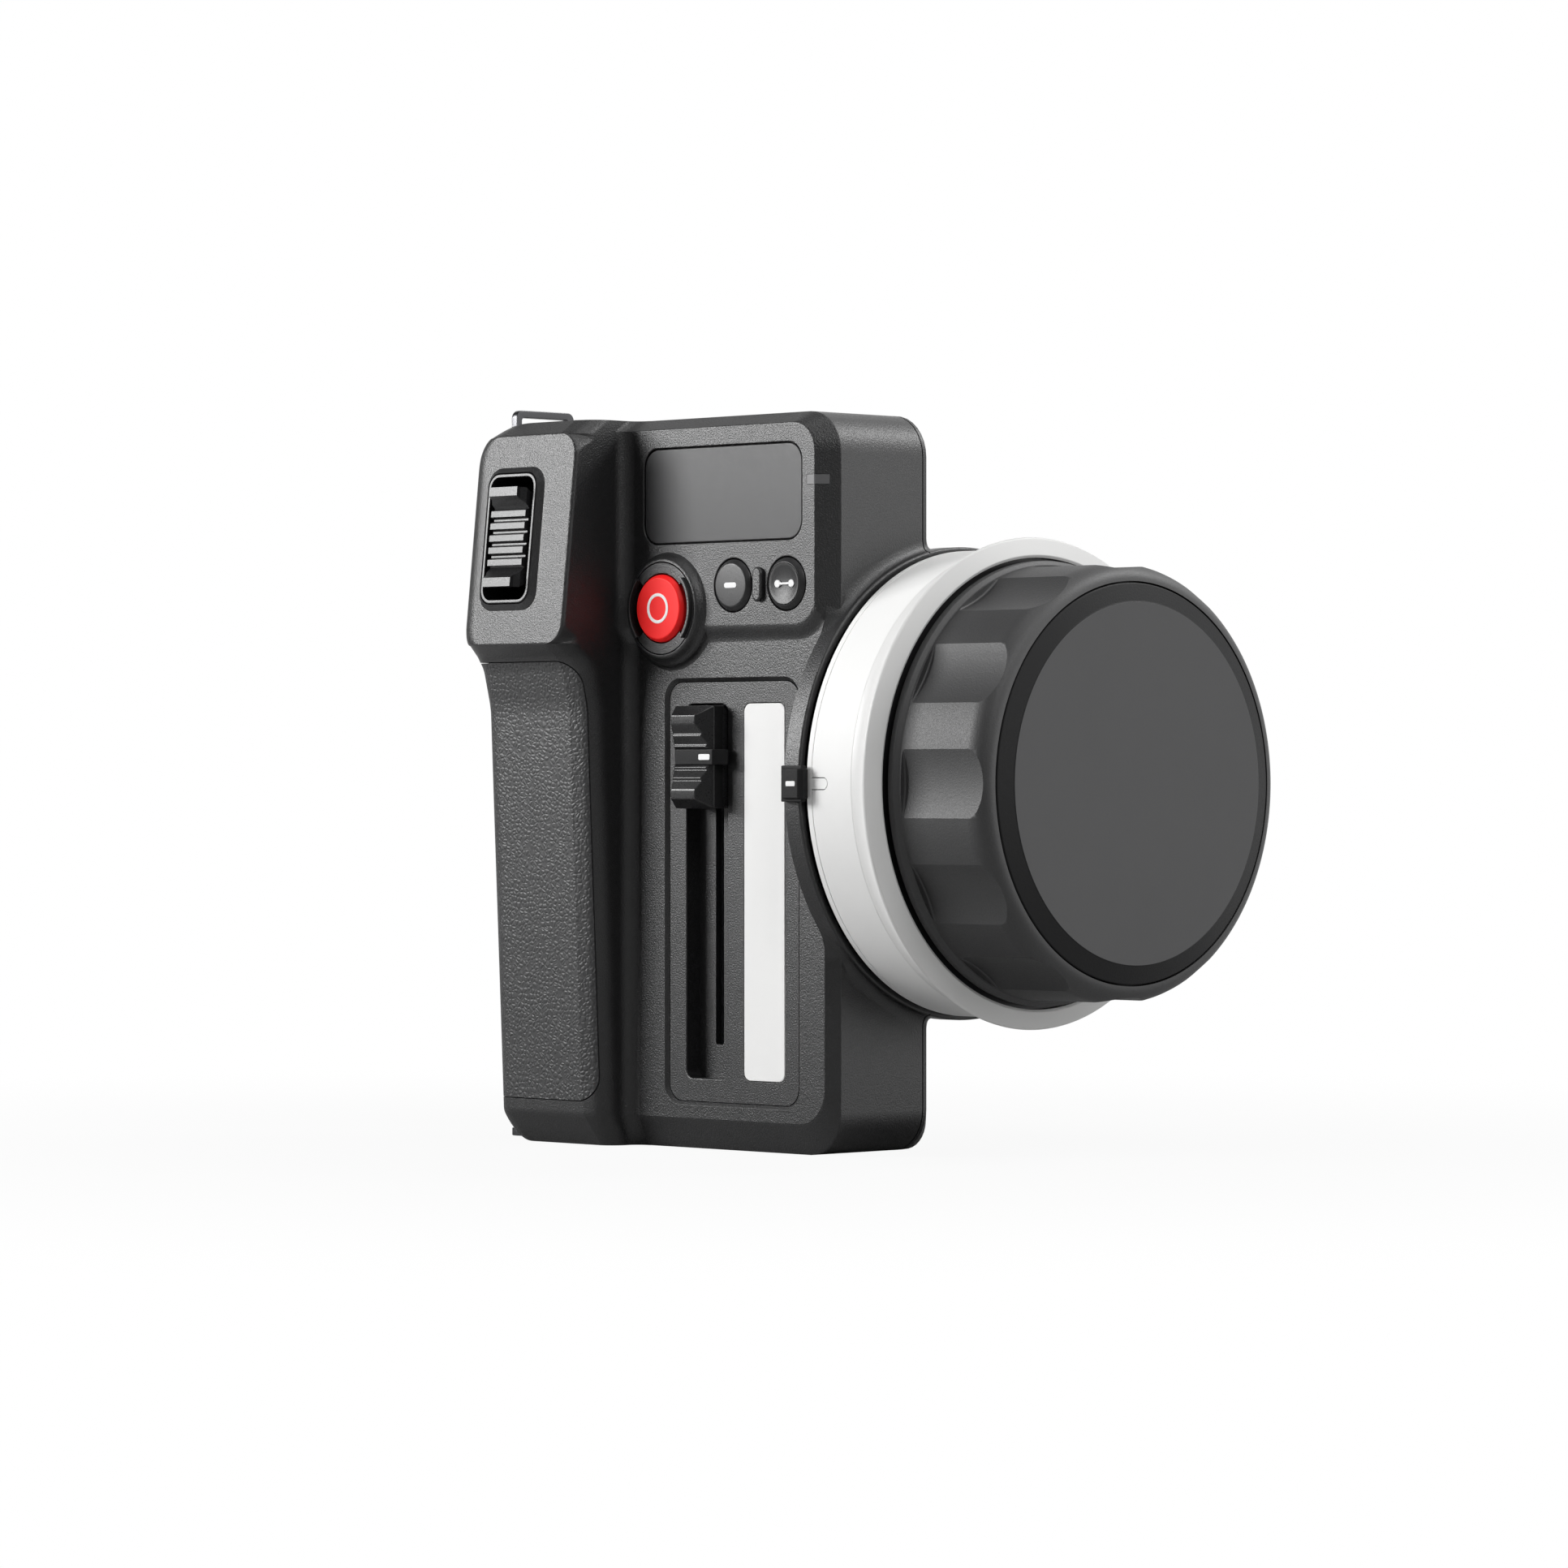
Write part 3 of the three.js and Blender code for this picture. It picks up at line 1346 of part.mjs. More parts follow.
function rocker() {
  const half = rockerWidth / 2;
  const tip = rockerTipWidth / 2;
  const body = prismX(rockerProfile(), -half, half);
  const narrowing = prismZ(
    [
      [-half, pinDepth * 2],
      [-half, -rockerRibReach],
      [-tip, -rockerRibReach - (half - tip)],
      [-tip, -rockerTipReach - overrun],
      [tip, -rockerTipReach - overrun],
      [tip, -rockerRibReach - (half - tip)],
      [half, -rockerRibReach],
      [half, pinDepth * 2],
    ],
    -rockerHalf * 2,
    rockerHalf * 2,
  );
  const pinHole = prismX(circlePoints(pinDepth, 0, pinRadius + runningGap), -rockerWidth, rockerWidth);
  return placedOnFace(cut(common(body, narrowing), pinHole));
}
add("rocker", rocker(), keyPlastic);

add(
  "rocker_pin",
  placedOnFace(prismX(circlePoints(pinDepth, 0, pinRadius), -bezelWidth / 2 + seamGap, bezelWidth / 2 - seamGap)),
  steel,
);
add(
  "rocker_sensor",
  placedOnFace(box(-sensorHalf, sensorHalf, bezelDepth + seamGap, bezelDepth + seamGap + sensorDepth, -sensorHalf,
    sensorHalf)),
  boardGreen,
);

const batteryLeft = bodyLeft + wallThickness + padThickness + clearGap;
add(
  "battery_pack",
  prismZ(
    roundedPoints(batteryLeft, batteryLeft + batteryWidth, -gripReach * 0.7 + padThickness + wallThickness + clearGap,
      batteryBackY, batteryCorner),
    batteryBottom,
    batteryTop,
  ),
  cellWrap,
);

// Wheel base with its hub, bearings, motor and encoder

const hubRight = basePlateRight + hubLength;
const basePlateLeft = basePlateRight - basePlateThickness;
add(
  "wheel_base",
  onAxle([
    [hubBoreRadius, basePlateLeft],
    [basePlateRadius, basePlateLeft],
    [basePlateRadius, basePlateRight],
    [hubOuterRadius, basePlateRight],
    [hubOuterRadius, hubRight],
    [hubBoreRadius, hubRight],
    [hubBoreRadius, basePlateLeft],
  ]),
  satinMetal,
);

const bearingProfile = (from) =>
  ringProfile(shaftRadius + runningGap, hubBoreRadius - bearingFit, from, from + bearingWidth);
add("bearing_inner", onAxle(bearingProfile(basePlateLeft + seamGap), smallSteps * 2), steel);
add("bearing_outer", onAxle(bearingProfile(hubRight - bearingWidth - seamGap), smallSteps * 2), steel);

const motorRight = basePlateLeft - seamGap;
const motorLeft = motorRight - motorLength;
add("haptic_motor", onAxle(ringProfile(motorBoreRadius, motorRadius, motorLeft, motorRight), smallSteps * 2), satinMetal);
add(
  "wheel_encoder",
  onAxle(ringProfile(motorBoreRadius, encoderRadius, motorLeft - seamGap - encoderThickness, motorLeft - seamGap),
    smallSteps),
  boardGreen,
);

function wheelShaft() {
  const bar = onAxle(discProfile(shaftRadius, motorRight - shaftTail, coreFaceRight - clearGap), smallSteps * 2);
  const bore = onAxle(
    discProfile(hubScrewRadius + seamGap, coreFaceRight - hubScrewLength - clearGap, coreFaceRight + overrun),
    smallSteps,
  );
  return cut(bar, bore);
}
add("wheel_shaft", wheelShaft(), steel);

add(
  "hub_screw",
  onAxle(
    [
      [0, coreFaceRight - hubScrewLength],
      [hubScrewRadius, coreFaceRight - hubScrewLength],
      [hubScrewRadius, coreFaceRight + seamGap],
      [hubScrewHeadRadius, coreFaceRight + seamGap],
      [hubScrewHeadRadius, coreFaceRight + seamGap + hubScrewHead],
      [0, coreFaceRight + seamGap + hubScrewHead],
    ],
    smallSteps,
  ),
  steel,
);

function knobCore() {
  const boreRadius = shaftRadius + seamGap / 2;
  return onAxle([
    [boreRadius, coreBossLeft],
    [coreBossRadius, coreBossLeft],
    [coreBossRadius, coreFaceLeft],
    [coreRadius - coreWall, coreFaceLeft],
    [coreRadius - coreWall, coreStepX - coreWebThickness],
    [coreSeatRadius - coreSeatWall, coreStepX - coreWebThickness],
    [coreSeatRadius - coreSeatWall, wheelLeft],
    [coreSeatRadius, wheelLeft],
    [coreSeatRadius, coreStepX],
    [coreRadius, coreStepX],
    [coreRadius, coreFaceRight],
    [boreRadius, coreFaceRight],
    [boreRadius, coreBossLeft],
  ]);
}
add("knob_core", knobCore(), keyPlastic);

// Marking ring with its snap rim and tongue

const seatRadius = coreSeatRadius + seamGap / 2;
const rimRight = wheelLeft + rimWidth;
function tongue(grow) {
  const z = wheelZ;
  const half = tabWidth / 2 + grow;
  const end = rimRight + tabReach + grow;
  const outline = [
    [rimRight - grow - seamGap, z - half],
    ...arc(end - half, z, half, -90, 90),
    [rimRight - grow - seamGap, z + half],
  ];
  const slab = prismY(outline, wheelY - markingRadius - overrun, wheelY - seatRadius + overrun);
  const reach = grow ? overrun : 0;
  return common(slab, onAxle(ringProfile(seatRadius - reach, markingRadius + reach, wheelLeft, flareLeft)));
}
add(
  "ring_rim",
  join(onAxle(ringProfile(seatRadius, markingRadius, wheelLeft, rimRight)), tongue(0)),
  whitePlastic,
);
add(
  "marking_ring",
  cut(onAxle(ringProfile(seatRadius, markingRadius, rimRight + seamGap, flareLeft - seamGap)), tongue(seamGap)),
  whitePlastic,
);

add(
  "flare_ring",
  onAxle([
    [seatRadius, flareLeft],
    [markingRadius, flareLeft],
    [markingRadius + (flareRadius - markingRadius) * 0.12, flareLeft + (flareLipX - flareLeft) * 0.45],
    [markingRadius + (flareRadius - markingRadius) * 0.45, flareLeft + (flareLipX - flareLeft) * 0.8],
    [flareRadius - capChamfer * 0.4, flareLipX - capChamfer * 0.3],
    [flareRadius, flareLipX],
    [flareRadius - capChamfer * 0.4, flareLipX + capChamfer * 0.5],
    [flareInnerFace, flareFaceX],
    [seatRadius, flareFaceX - seamGap * 2],
    [seatRadius, flareLeft],
  ]),
  frosted,
);

// Rubber grip of the wheel with its shallow flutes

function knobGrip() {
  const inner = coreRadius + seamGap / 2;
  const lip = capRadius + seamGap * 2;
  const shoulder = arc(gripShoulderX, lip, gripRadius - lip, 90, 0, arcSteps).map(([x, r]) => [
    r,
    gripShoulderX + (x - gripShoulderX) * ((gripRight - gripShoulderX) / (gripRadius - lip)),
  ]);
  const sleeve = onAxle([
    [inner, gripLeft],
    [gripRadius - gripWheelCorner, gripLeft],
    [gripRadius, gripLeft + gripWheelCorner],
    ...shoulder,
    [lip, coreFaceRight + seamGap],
    [inner, coreFaceRight + seamGap],
    [inner, gripLeft],
  ]);
  const centre = gripRadius - fluteDepth + fluteArcRadius;
  const cutters = [];
  for (let i = 0; i < fluteCount; i++) {
    const angle = (2 * Math.PI * i) / fluteCount;
    const y = wheelY - centre * Math.cos(angle);
    const z = wheelZ + centre * Math.sin(angle);
    cutters.push(prismX(circlePoints(y, z, fluteArcRadius, wheelSteps), fluteLeft, gripRight + overrun));
  }
  return cut(sleeve, ...cutters);
}
add("knob_grip", knobGrip(), wheelRubber);

add(
  "wheel_cap",
  onAxle([
    [0, capFaceX - capThickness],
    [capRimInnerRadius - capThickness, capFaceX - capThickness],
    [capRimInnerRadius - capThickness, coreFaceRight + seamGap],
    [capRadius, coreFaceRight + seamGap],
    [capRadius, capRimX - capChamfer],
    [capRadius - capChamfer, capRimX],
    [capRimInnerRadius, capRimX],
    [capFaceRadius, capFaceX],
    [0, capFaceX],
  ]),
  capPlastic,
);

// Index pointer on the base ring, opposite the tongue

const pointerFaceY = wheelY - ringRadius - pointerReach;
const pointerMark = (grow) =>
  plateY(pointerMarkLeft - grow, pointerMarkRight + grow, wheelZ - pointerMarkHeight / 2 - grow,
    wheelZ + pointerMarkHeight / 2 + grow, pointerMarkHeight * 0.2, pointerFaceY - markProud,
    pointerFaceY + markProud * 4);
function indexPointer() {
  const seatY = wheelY - ringRadius - seamGap;
  const overhangY = wheelY - markingRadius - clearGap * 1.5;
  const outline = [
    [ringLeft, pointerFaceY],
    [pointerRight - pointerSeat, pointerFaceY],
    [pointerRight, pointerFaceY + pointerReach * 0.5],
    [pointerRight, overhangY],
    [ringRight + seamGap, overhangY],
    [ringRight + seamGap, seatY],
    [ringLeft, seatY],
  ];
  return cut(prismZ(outline, wheelZ - pointerHalf, wheelZ + pointerHalf), pointerMark(seamGap / 6));
}
add("index_pointer", indexPointer(), mouldedBlack);
add("index_mark", pointerMark(0), whitePlastic);

part.position.set(-footX, -footY, 0);

export default part;
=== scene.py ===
"""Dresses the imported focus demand: a grip body with a display and keys, and a marked wheel on its side."""

import logging
import math
from dataclasses import dataclass
from enum import Enum
from typing import Callable, Iterable, Optional, Sequence

import bmesh
import bpy
from mathutils import Matrix, Vector


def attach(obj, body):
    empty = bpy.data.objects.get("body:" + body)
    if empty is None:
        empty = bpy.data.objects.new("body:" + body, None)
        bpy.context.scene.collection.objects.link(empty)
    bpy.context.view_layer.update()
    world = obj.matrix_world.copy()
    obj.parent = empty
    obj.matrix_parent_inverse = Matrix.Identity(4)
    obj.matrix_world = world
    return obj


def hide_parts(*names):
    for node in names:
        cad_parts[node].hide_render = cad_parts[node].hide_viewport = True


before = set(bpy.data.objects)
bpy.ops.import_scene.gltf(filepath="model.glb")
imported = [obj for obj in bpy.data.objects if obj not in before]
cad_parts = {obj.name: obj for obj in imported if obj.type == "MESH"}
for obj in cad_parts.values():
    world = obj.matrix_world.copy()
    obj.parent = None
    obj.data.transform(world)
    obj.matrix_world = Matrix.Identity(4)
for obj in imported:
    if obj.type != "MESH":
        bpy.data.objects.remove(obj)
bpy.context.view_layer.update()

logging.basicConfig(level=logging.INFO, format="%(message)s")
log = logging.getLogger("focus_demand")

MM = 0.001
# The sizes below are in millimetres from the display panel's right edge, and this is where that edge lies.
ZERO = Vector((38.0, -13.0, 0.0))

Point = tuple[float, float]
Spot = tuple[float, float, float]
Box = tuple[float, float, float, float]
Solid = bpy.types.Object
Tree = bpy.types.NodeTree
Socket = bpy.types.NodeSocket

# Faces that meet at less than this angle, in degrees, shade smoothly; the weight keeps large faces flat.
SMOOTH_BELOW = 32.0
FLAT_WEIGHT = 80
# How far a surface's roughness varies with its pattern
GLOSS_SPREAD = 0.05
# Corners nearer than the first are merged after a cut, and faces thinner than the second go, in millimetres.
MERGE_BELOW = 0.003
THIN_BELOW = 0.002
# Radii of the holes for the screws' shanks and heads, and of the posts round them
SHANK_HOLE = 1.22
HEAD_HOLE = 2.22
POST = 3.0


def spot(x: float, y: float, z: float) -> Vector:
    """Turns a place in the maker's millimetres into metres in the model's frame.

    Args:
        x: Millimetres to the right of the panel's edge.
        y: Millimetres behind the panel's face.
        z: Millimetres above the foot.

    Returns:
        The place in metres.
    """
    return (Vector((x, y, z)) + ZERO) * MM


def in_mm(place: Vector) -> Vector:
    """Turns a place in metres back into the maker's millimetres."""
    return place / MM - ZERO


def rounded(points: Sequence[Point], radii: dict[int, float], steps: int = 5) -> list[Point]:
    """Rounds corners of a drawn line.

    Args:
        points: The line's corners.
        radii: The radius at each corner to round, by its place in the line.
        steps: How many straight bits each rounding has.

    Returns:
        The line's points with the roundings put in.
    """
    result: list[Point] = []
    count = len(points)
    for i, point in enumerate(points):
        if i not in radii:
            result.append(point)
            continue
        here = Vector(point)
        before = (Vector(points[i - 1]) - here).normalized()
        after = (Vector(points[(i + 1) % count]) - here).normalized()
        half = before.angle(after) / 2
        reach = radii[i] / math.tan(half)
        centre = here + (before + after).normalized() * (radii[i] / math.sin(half))
        start = here + before * reach - centre
        turn = start.angle_signed(here + after * reach - centre)
        for k in range(steps + 1):
            spun = Matrix.Rotation(-turn * k / steps, 2) @ start
            result.append(tuple(centre + spun))
    return result


def arc(cx: float, cy: float, radius: float, start: float, end: float, steps: int = 8) -> list[Point]:
    """Draws an arc.

    Args:
        cx: Its centre's first coordinate.
        cy: Its centre's second coordinate.
        radius: Its radius.
        start: The angle of its first point, in degrees.
        end: The angle of its last point.
        steps: How many straight bits it has.

    Returns:
        Its points.
    """
    turns = [math.radians(start + (end - start) * k / steps) for k in range(steps + 1)]
    return [(cx + radius * math.cos(turn), cy + radius * math.sin(turn)) for turn in turns]


def rounded_box(
    left: float, right: float, low: float, high: float, radii: float | Sequence[float], steps: int = 8
) -> list[Point]:
    """Draws a rounded rectangle, counterclockwise from its lower left corner.

    Args:
        left: Its left side.
        right: Its right side.
        low: Its lower side.
        high: Its upper side.
        radii: The corners' radius, or those of the lower left, lower right, upper right and upper left corner.
        steps: How many straight bits each corner has.

    Returns:
        The outline's points.
    """
    first, second, third, fourth = radii if isinstance(radii, Sequence) else (radii,) * 4
    return [
        *arc(left + first, low + first, first, 180, 270, steps),
        *arc(right - second, low + second, second, 270, 360, steps),
        *arc(right - third, high - third, third, 0, 90, steps),
        *arc(left + fourth, high - fourth, fourth, 90, 180, steps),
    ]


class Axis(Enum):
    """Directions along which pieces are turned or extruded, each with its number among x, y and z."""

    WHEEL = 0
    FRONT = 1
    UP = 2

    def at(self, along: float, first: float, second: float) -> Vector:
        """Gives a place.

        Args:
            along: Its place along this axis, in the frame's millimetres.
            first: Its place along the first of the other two.
            second: Its place along the second.

        Returns:
            The place in metres.
        """
        places = [first, second]
        places.insert(self.value, along)
        return spot(*places)


class Bench:
    """The steps of modelling by hand, each taken on one object."""

    @staticmethod
    def alone(obj: Solid) -> None:
        """Selects one object only and makes it active."""
        bpy.ops.object.select_all(action="DESELECT")
        obj.select_set(True)
        bpy.context.view_layer.objects.active = obj

    @staticmethod
    def whole(obj: Solid) -> None:
        """Opens an object for editing with all of it selected."""
        Bench.alone(obj)
        bpy.ops.object.mode_set(mode="EDIT")
        bpy.ops.mesh.select_mode(type="VERT")
        bpy.ops.mesh.select_all(action="SELECT")

    @staticmethod
    def leave() -> None:
        """Goes back to object mode."""
        bpy.ops.object.mode_set(mode="OBJECT")

    @staticmethod
    def closed() -> None:
        """Turns the faces of the solid that is being edited outwards and leaves it."""
        bpy.ops.mesh.select_all(action="SELECT")
        bpy.ops.mesh.normals_make_consistent(inside=False)
        Bench.leave()

    @staticmethod
    def named(name: str) -> Solid:
        """Names the object that was just added and puts its place into its mesh."""
        obj = bpy.context.object
        obj.name = obj.data.name = name
        bpy.ops.object.transform_apply(location=True, rotation=True, scale=True)
        return obj

    @staticmethod
    def block(name: str, low: Spot, high: Spot) -> Solid:
        """Adds a cube between two corners, to be shaped further.

        Args:
            name: The object's name.
            low: Its lowest corner, in millimetres.
            high: Its highest corner, in millimetres.

        Returns:
            The new object, with its place in its mesh.
        """
        bpy.ops.object.select_all(action="DESELECT")
        a, b = spot(*low), spot(*high)
        bpy.ops.mesh.primitive_cube_add(size=1, location=(a + b) / 2, scale=b - a)
        return Bench.named(name)

    @staticmethod
    def line(name: str, places: Sequence[Vector], closed: bool) -> Solid:
        """Draws a line by extruding one vertex from place to place.

        Args:
            name: The object's name.
            places: The line's places, in metres.
            closed: Whether it ends where it began.

        Returns:
            The new object, left in object mode.
        """
        bpy.ops.object.select_all(action="DESELECT")
        bpy.ops.mesh.primitive_plane_add(size=MM, location=places[0])
        obj = Bench.named(name)
        Bench.whole(obj)
        bpy.ops.mesh.merge(type="CENTER")
        route = list(places) + ([places[0]] if closed else [])
        for here, there in zip(route, route[1:]):
            bpy.ops.mesh.extrude_region_move(TRANSFORM_OT_translate={"value": there - here})
        bpy.ops.mesh.select_all(action="SELECT")
        bpy.ops.mesh.remove_doubles(threshold=1e-7)
        Bench.leave()
        return obj

    @staticmethod
    def turned(
        name: str, profile: Sequence[Point], centre: Spot, axis: Axis, steps: int = 128, closed: bool = False
    ) -> Solid:
        """Spins a profile round an axis.

        Args:
            name: The object's name.
            profile: Points as (radius, place along the axis), in millimetres.
            centre: A point of the axis, in millimetres.
            axis: The axis's direction.
            steps: How many parts the turn has.
            closed: Whether the profile ends where it began, as a ring's does.

        Returns:
            The new object.
        """
        first, second = (c for i, c in enumerate(centre) if i != axis.value)
        obj = Bench.line(name, [axis.at(along, first, second - radius) for radius, along in profile], closed)
        Bench.whole(obj)
        bpy.ops.mesh.spin(steps=steps, angle=math.tau, center=spot(*centre), axis=Matrix.Identity(3)[axis.value])
        bpy.ops.mesh.select_all(action="SELECT")
        bpy.ops.mesh.remove_doubles(threshold=1e-6)
        Bench.closed()
        return obj

    @staticmethod
    def lofted(name: str, rings: Sequence[Sequence[Vector]]) -> Solid:
        """Draws an outline, fills it, and extrudes it from outline to outline.

        Args:
            name: The object's name.
            rings: Outlines with equally many places, in metres.

        Returns:
            The new closed solid.
        """
        obj = Bench.line(name, rings[0], True)
        Bench.whole(obj)
        bpy.ops.mesh.edge_face_add()
        face = next(f for f in bmesh.from_edit_mesh(obj.data).faces if f.select)
        order = [min(range(len(rings[0])), key=lambda k: (rings[0][k] - v.co).length_squared) for v in face.verts]
        for ring in rings[1:]:
            bpy.ops.mesh.extrude_region()
            face = next(f for f in bmesh.from_edit_mesh(obj.data).faces if f.select)
            for vertex, k in zip(face.verts, order):
                vertex.co = ring[k]
            bmesh.update_edit_mesh(obj.data)
        Bench.closed()
        return obj

    @staticmethod
    def stacked(name: str, outlines: Iterable[tuple[float, Sequence[Point]]], axis: Axis = Axis.FRONT) -> Solid:
        """Extrudes from outline to outline along an axis.

        Args:
            name: The object's name.
            outlines: Where each lies along the axis, and its points.
            axis: The axis.

        Returns:
            The new solid.
        """
        return Bench.lofted(name, [[axis.at(at, u, v) for u, v in outline] for at, outline in outlines])

    @staticmethod
    def bar(name: str, outline: Sequence[Point], start: float, end: float, axis: Axis) -> Solid:
        """Extrudes an outline from one place to another along an axis."""
        return Bench.stacked(name, [(start, outline), (end, outline)], axis)

    @staticmethod
    def rod(
        name: str, centre: Spot, radius: float, start: float, end: float, steps: int, axis: Axis = Axis.FRONT
    ) -> Solid:
        """Turns a plain cylinder.

        Args:
            name: The object's name.
            centre: A point of its axis, in millimetres.
            radius: Its radius.
            start: Where it begins along the axis.
            end: Where it ends.
            steps: How many parts the turn has.
            axis: The axis's direction.

        Returns:
            The new solid.
        """
        return Bench.turned(name, [(0, start), (radius, start), (radius, end), (0, end)], centre, axis, steps)

    @staticmethod
    def plate(
        name: str, outline: Sequence[Point], front: float, back: float, edge: float = 0.0, steps: int = 3
    ) -> Solid:
        """Extrudes an outline that is seen from the front.

        Args:
            name: The object's name.
            outline: Points as (x, z), in millimetres.
            front: Where its front lies along Y.
            back: Where its back lies along Y.
            edge: The radius of its front edge.
            steps: How many parts that radius has.

        Returns:
            The new solid.
        """
        xs, zs = zip(*outline)
        centre = Vector(((min(xs) + max(xs)) / 2, (min(zs) + max(zs)) / 2))
        size = Vector((max(xs) - min(xs), max(zs) - min(zs)))

        def ring(y: float, grow: float) -> list[Vector]:
            sx, sz = (size.x + 2 * grow) / size.x, (size.y + 2 * grow) / size.y
            return [spot(centre.x + (x - centre.x) * sx, y, centre.y + (z - centre.y) * sz) for x, z in outline]

        if not edge:
            return Bench.lofted(name, [ring(back, 0.0), ring(front, 0.0)])
        turns = [math.pi / 2 * k / steps for k in range(steps + 1)]
        rim = [ring(front + edge * (1 - math.sin(t)), -edge * (1 - math.cos(t))) for t in turns]
        return Bench.lofted(name, [ring(back, 0.0), *rim])

    @staticmethod
    def combine(obj: Solid, others: Iterable[Solid], operation: str) -> Solid:
        """Joins, cuts or meets a solid with others, which are used up.

        Args:
            obj: The solid that is kept.
            others: The solids that work on it.
            operation: UNION, DIFFERENCE or INTERSECT.

        Returns:
            The solid that is kept.
        """
        for other in others:
            Bench.alone(obj)
            step = obj.modifiers.new("combine", "BOOLEAN")
            step.operation = operation
            step.solver = "EXACT"
            step.object = other
            bpy.ops.object.modifier_apply(modifier=step.name)
            bpy.data.objects.remove(other)
            Bench.tidy(obj)
        return obj

    @staticmethod
    def tidy(obj: Solid) -> None:
        """Merges corners that all but meet and drops faces without area."""
        Bench.whole(obj)
        bpy.ops.mesh.remove_doubles(threshold=MERGE_BELOW * MM)
        bpy.ops.mesh.dissolve_degenerate(threshold=THIN_BELOW * MM)
        Bench.leave()

    @staticmethod
    def soften(obj: Solid, width: float, steps: int = 2, angle: float = 35.0) -> None:
        """Rounds every edge that is sharper than an angle.

        Args:
            obj: The solid.
            width: The rounding's width, in millimetres.
            steps: How many parts it has.
            angle: The least angle that is rounded, in degrees.
        """
        Bench.alone(obj)
        step = obj.modifiers.new("soften", "BEVEL")
        step.width = width * MM
        step.segments = steps
        step.limit_method = "ANGLE"
        step.angle_limit = math.radians(angle)
        step.miter_outer = "MITER_ARC"
        bpy.ops.object.modifier_apply(modifier=step.name)

    @staticmethod
    def slice(obj: Solid, at: Vector, normal: Vector) -> Solid:
        """Cuts off what lies beyond a plane and closes the cut.

        Args:
            obj: The solid.
            at: A point of the plane, in metres.
            normal: The plane's normal, towards what goes.

        Returns:
            The same solid.
        """
        Bench.whole(obj)
        bpy.ops.mesh.bisect(plane_co=at, plane_no=normal, use_fill=True, clear_outer=True)
        Bench.leave()
        return obj

    @staticmethod
    def spun_copy(obj: Solid, name: str, centre: Vector, angle: float) -> Solid:
        """Copies an object and turns the copy's mesh about a line along X.

        Args:
            obj: The object.
            name: The copy's name.
            centre: A point of the line, in metres.
            angle: The turn, in radians.

        Returns:
            The copy.
        """
        twin = obj.copy()
        twin.data = obj.data.copy()
        twin.name = twin.data.name = name
        bpy.context.scene.collection.objects.link(twin)
        twin.data.transform(Matrix.Translation(centre) @ Matrix.Rotation(angle, 4, "X") @ Matrix.Translation(-centre))
        return twin

    @staticmethod
    def smooth(obj: Solid) -> None:
        """Shades a piece smooth where its faces meet at a small angle, with large faces kept flat."""
        Bench.alone(obj)
        bpy.ops.object.shade_smooth_by_angle(angle=math.radians(SMOOTH_BELOW))
        step = obj.modifiers.new("normals", "WEIGHTED_NORMAL")
        step.keep_sharp = True
        step.weight = FLAT_WEIGHT
        bpy.ops.object.modifier_apply(modifier=step.name)


def linear(code: str) -> tuple[float, float, float, float]:
    """Turns an sRGB hex colour into linear light.

    Args:
        code: Six hex digits, such as "3a3a3b".

    Returns:
        Red, green, blue and alpha.
    """
    parts = [int(code[i : i + 2], 16) / 255 for i in (0, 2, 4)]
    red, green, blue = (c / 12.92 if c <= 0.04045 else ((c + 0.055) / 1.055) ** 2.4 for c in parts)
    return red, green, blue, 1.0


def add_node(
    tree: Tree, kind: str, settings: Optional[dict] = None, inputs: Optional[dict] = None
) -> bpy.types.Node:
    """Adds a node with its settings and links.

    Args:
        tree: The material's node tree.
        kind: The node's type name.
        settings: Values of the node itself, by name.
        inputs: Values or other nodes' outputs, by the socket's name or number.

    Returns:
        The new node.
    """
    node = tree.nodes.new(kind)
    for name, value in (settings or {}).items():
        setattr(node, name, value)
    for socket, value in (inputs or {}).items():
        if isinstance(value, bpy.types.NodeSocket):
            tree.links.new(value, node.inputs[socket])
        else:
            node.inputs[socket].default_value = value
    return node


def emptied(owner: bpy.types.Material | bpy.types.World) -> Tree:
    """Gives a material's or the world's node tree with nothing in it."""
    owner.use_nodes = True
    owner.node_tree.nodes.clear()
    return owner.node_tree


def combined(tree: Tree, operation: str, first: Socket, second: Socket) -> Socket:
    """Multiplies two values or takes the greater one."""
    return add_node(tree, "ShaderNodeMath", {"operation": operation}, {0: first, 1: second}).outputs[0]


def ramp(
    tree: Tree, value: Socket, start: float, end: float, low: float = 0.0, high: float = 1.0, bend: str = "SMOOTHSTEP"
) -> Socket:
    """Maps a value from one range to another.

    Args:
        tree: The node tree.
        value: The value.
        start: Where the ramp starts.
        end: Where it ends.
        low: What it gives at its start.
        high: What it gives at its end.
        bend: SMOOTHSTEP or LINEAR.

    Returns:
        The mapped value.
    """
    inputs = {"Value": value, "From Min": start, "From Max": end, "To Min": low, "To Max": high}
    return add_node(tree, "ShaderNodeMapRange", {"interpolation_type": bend}, inputs).outputs["Result"]


def noise(tree: Tree, place: Socket, scale: float, detail: float = 2.0, roughness: float = 0.5) -> Socket:
    """Makes cloudy noise.

    Args:
        tree: The node tree.
        place: The place on the piece.
        scale: How many waves fit in a metre.
        detail: How many finer layers lie on them.
        roughness: How strong those layers are.

    Returns:
        The noise, about 0.5 in the middle.
    """
    inputs = {"Vector": place, "Scale": scale, "Detail": detail, "Roughness": roughness}
    return add_node(tree, "ShaderNodeTexNoise", inputs=inputs).outputs["Fac"]


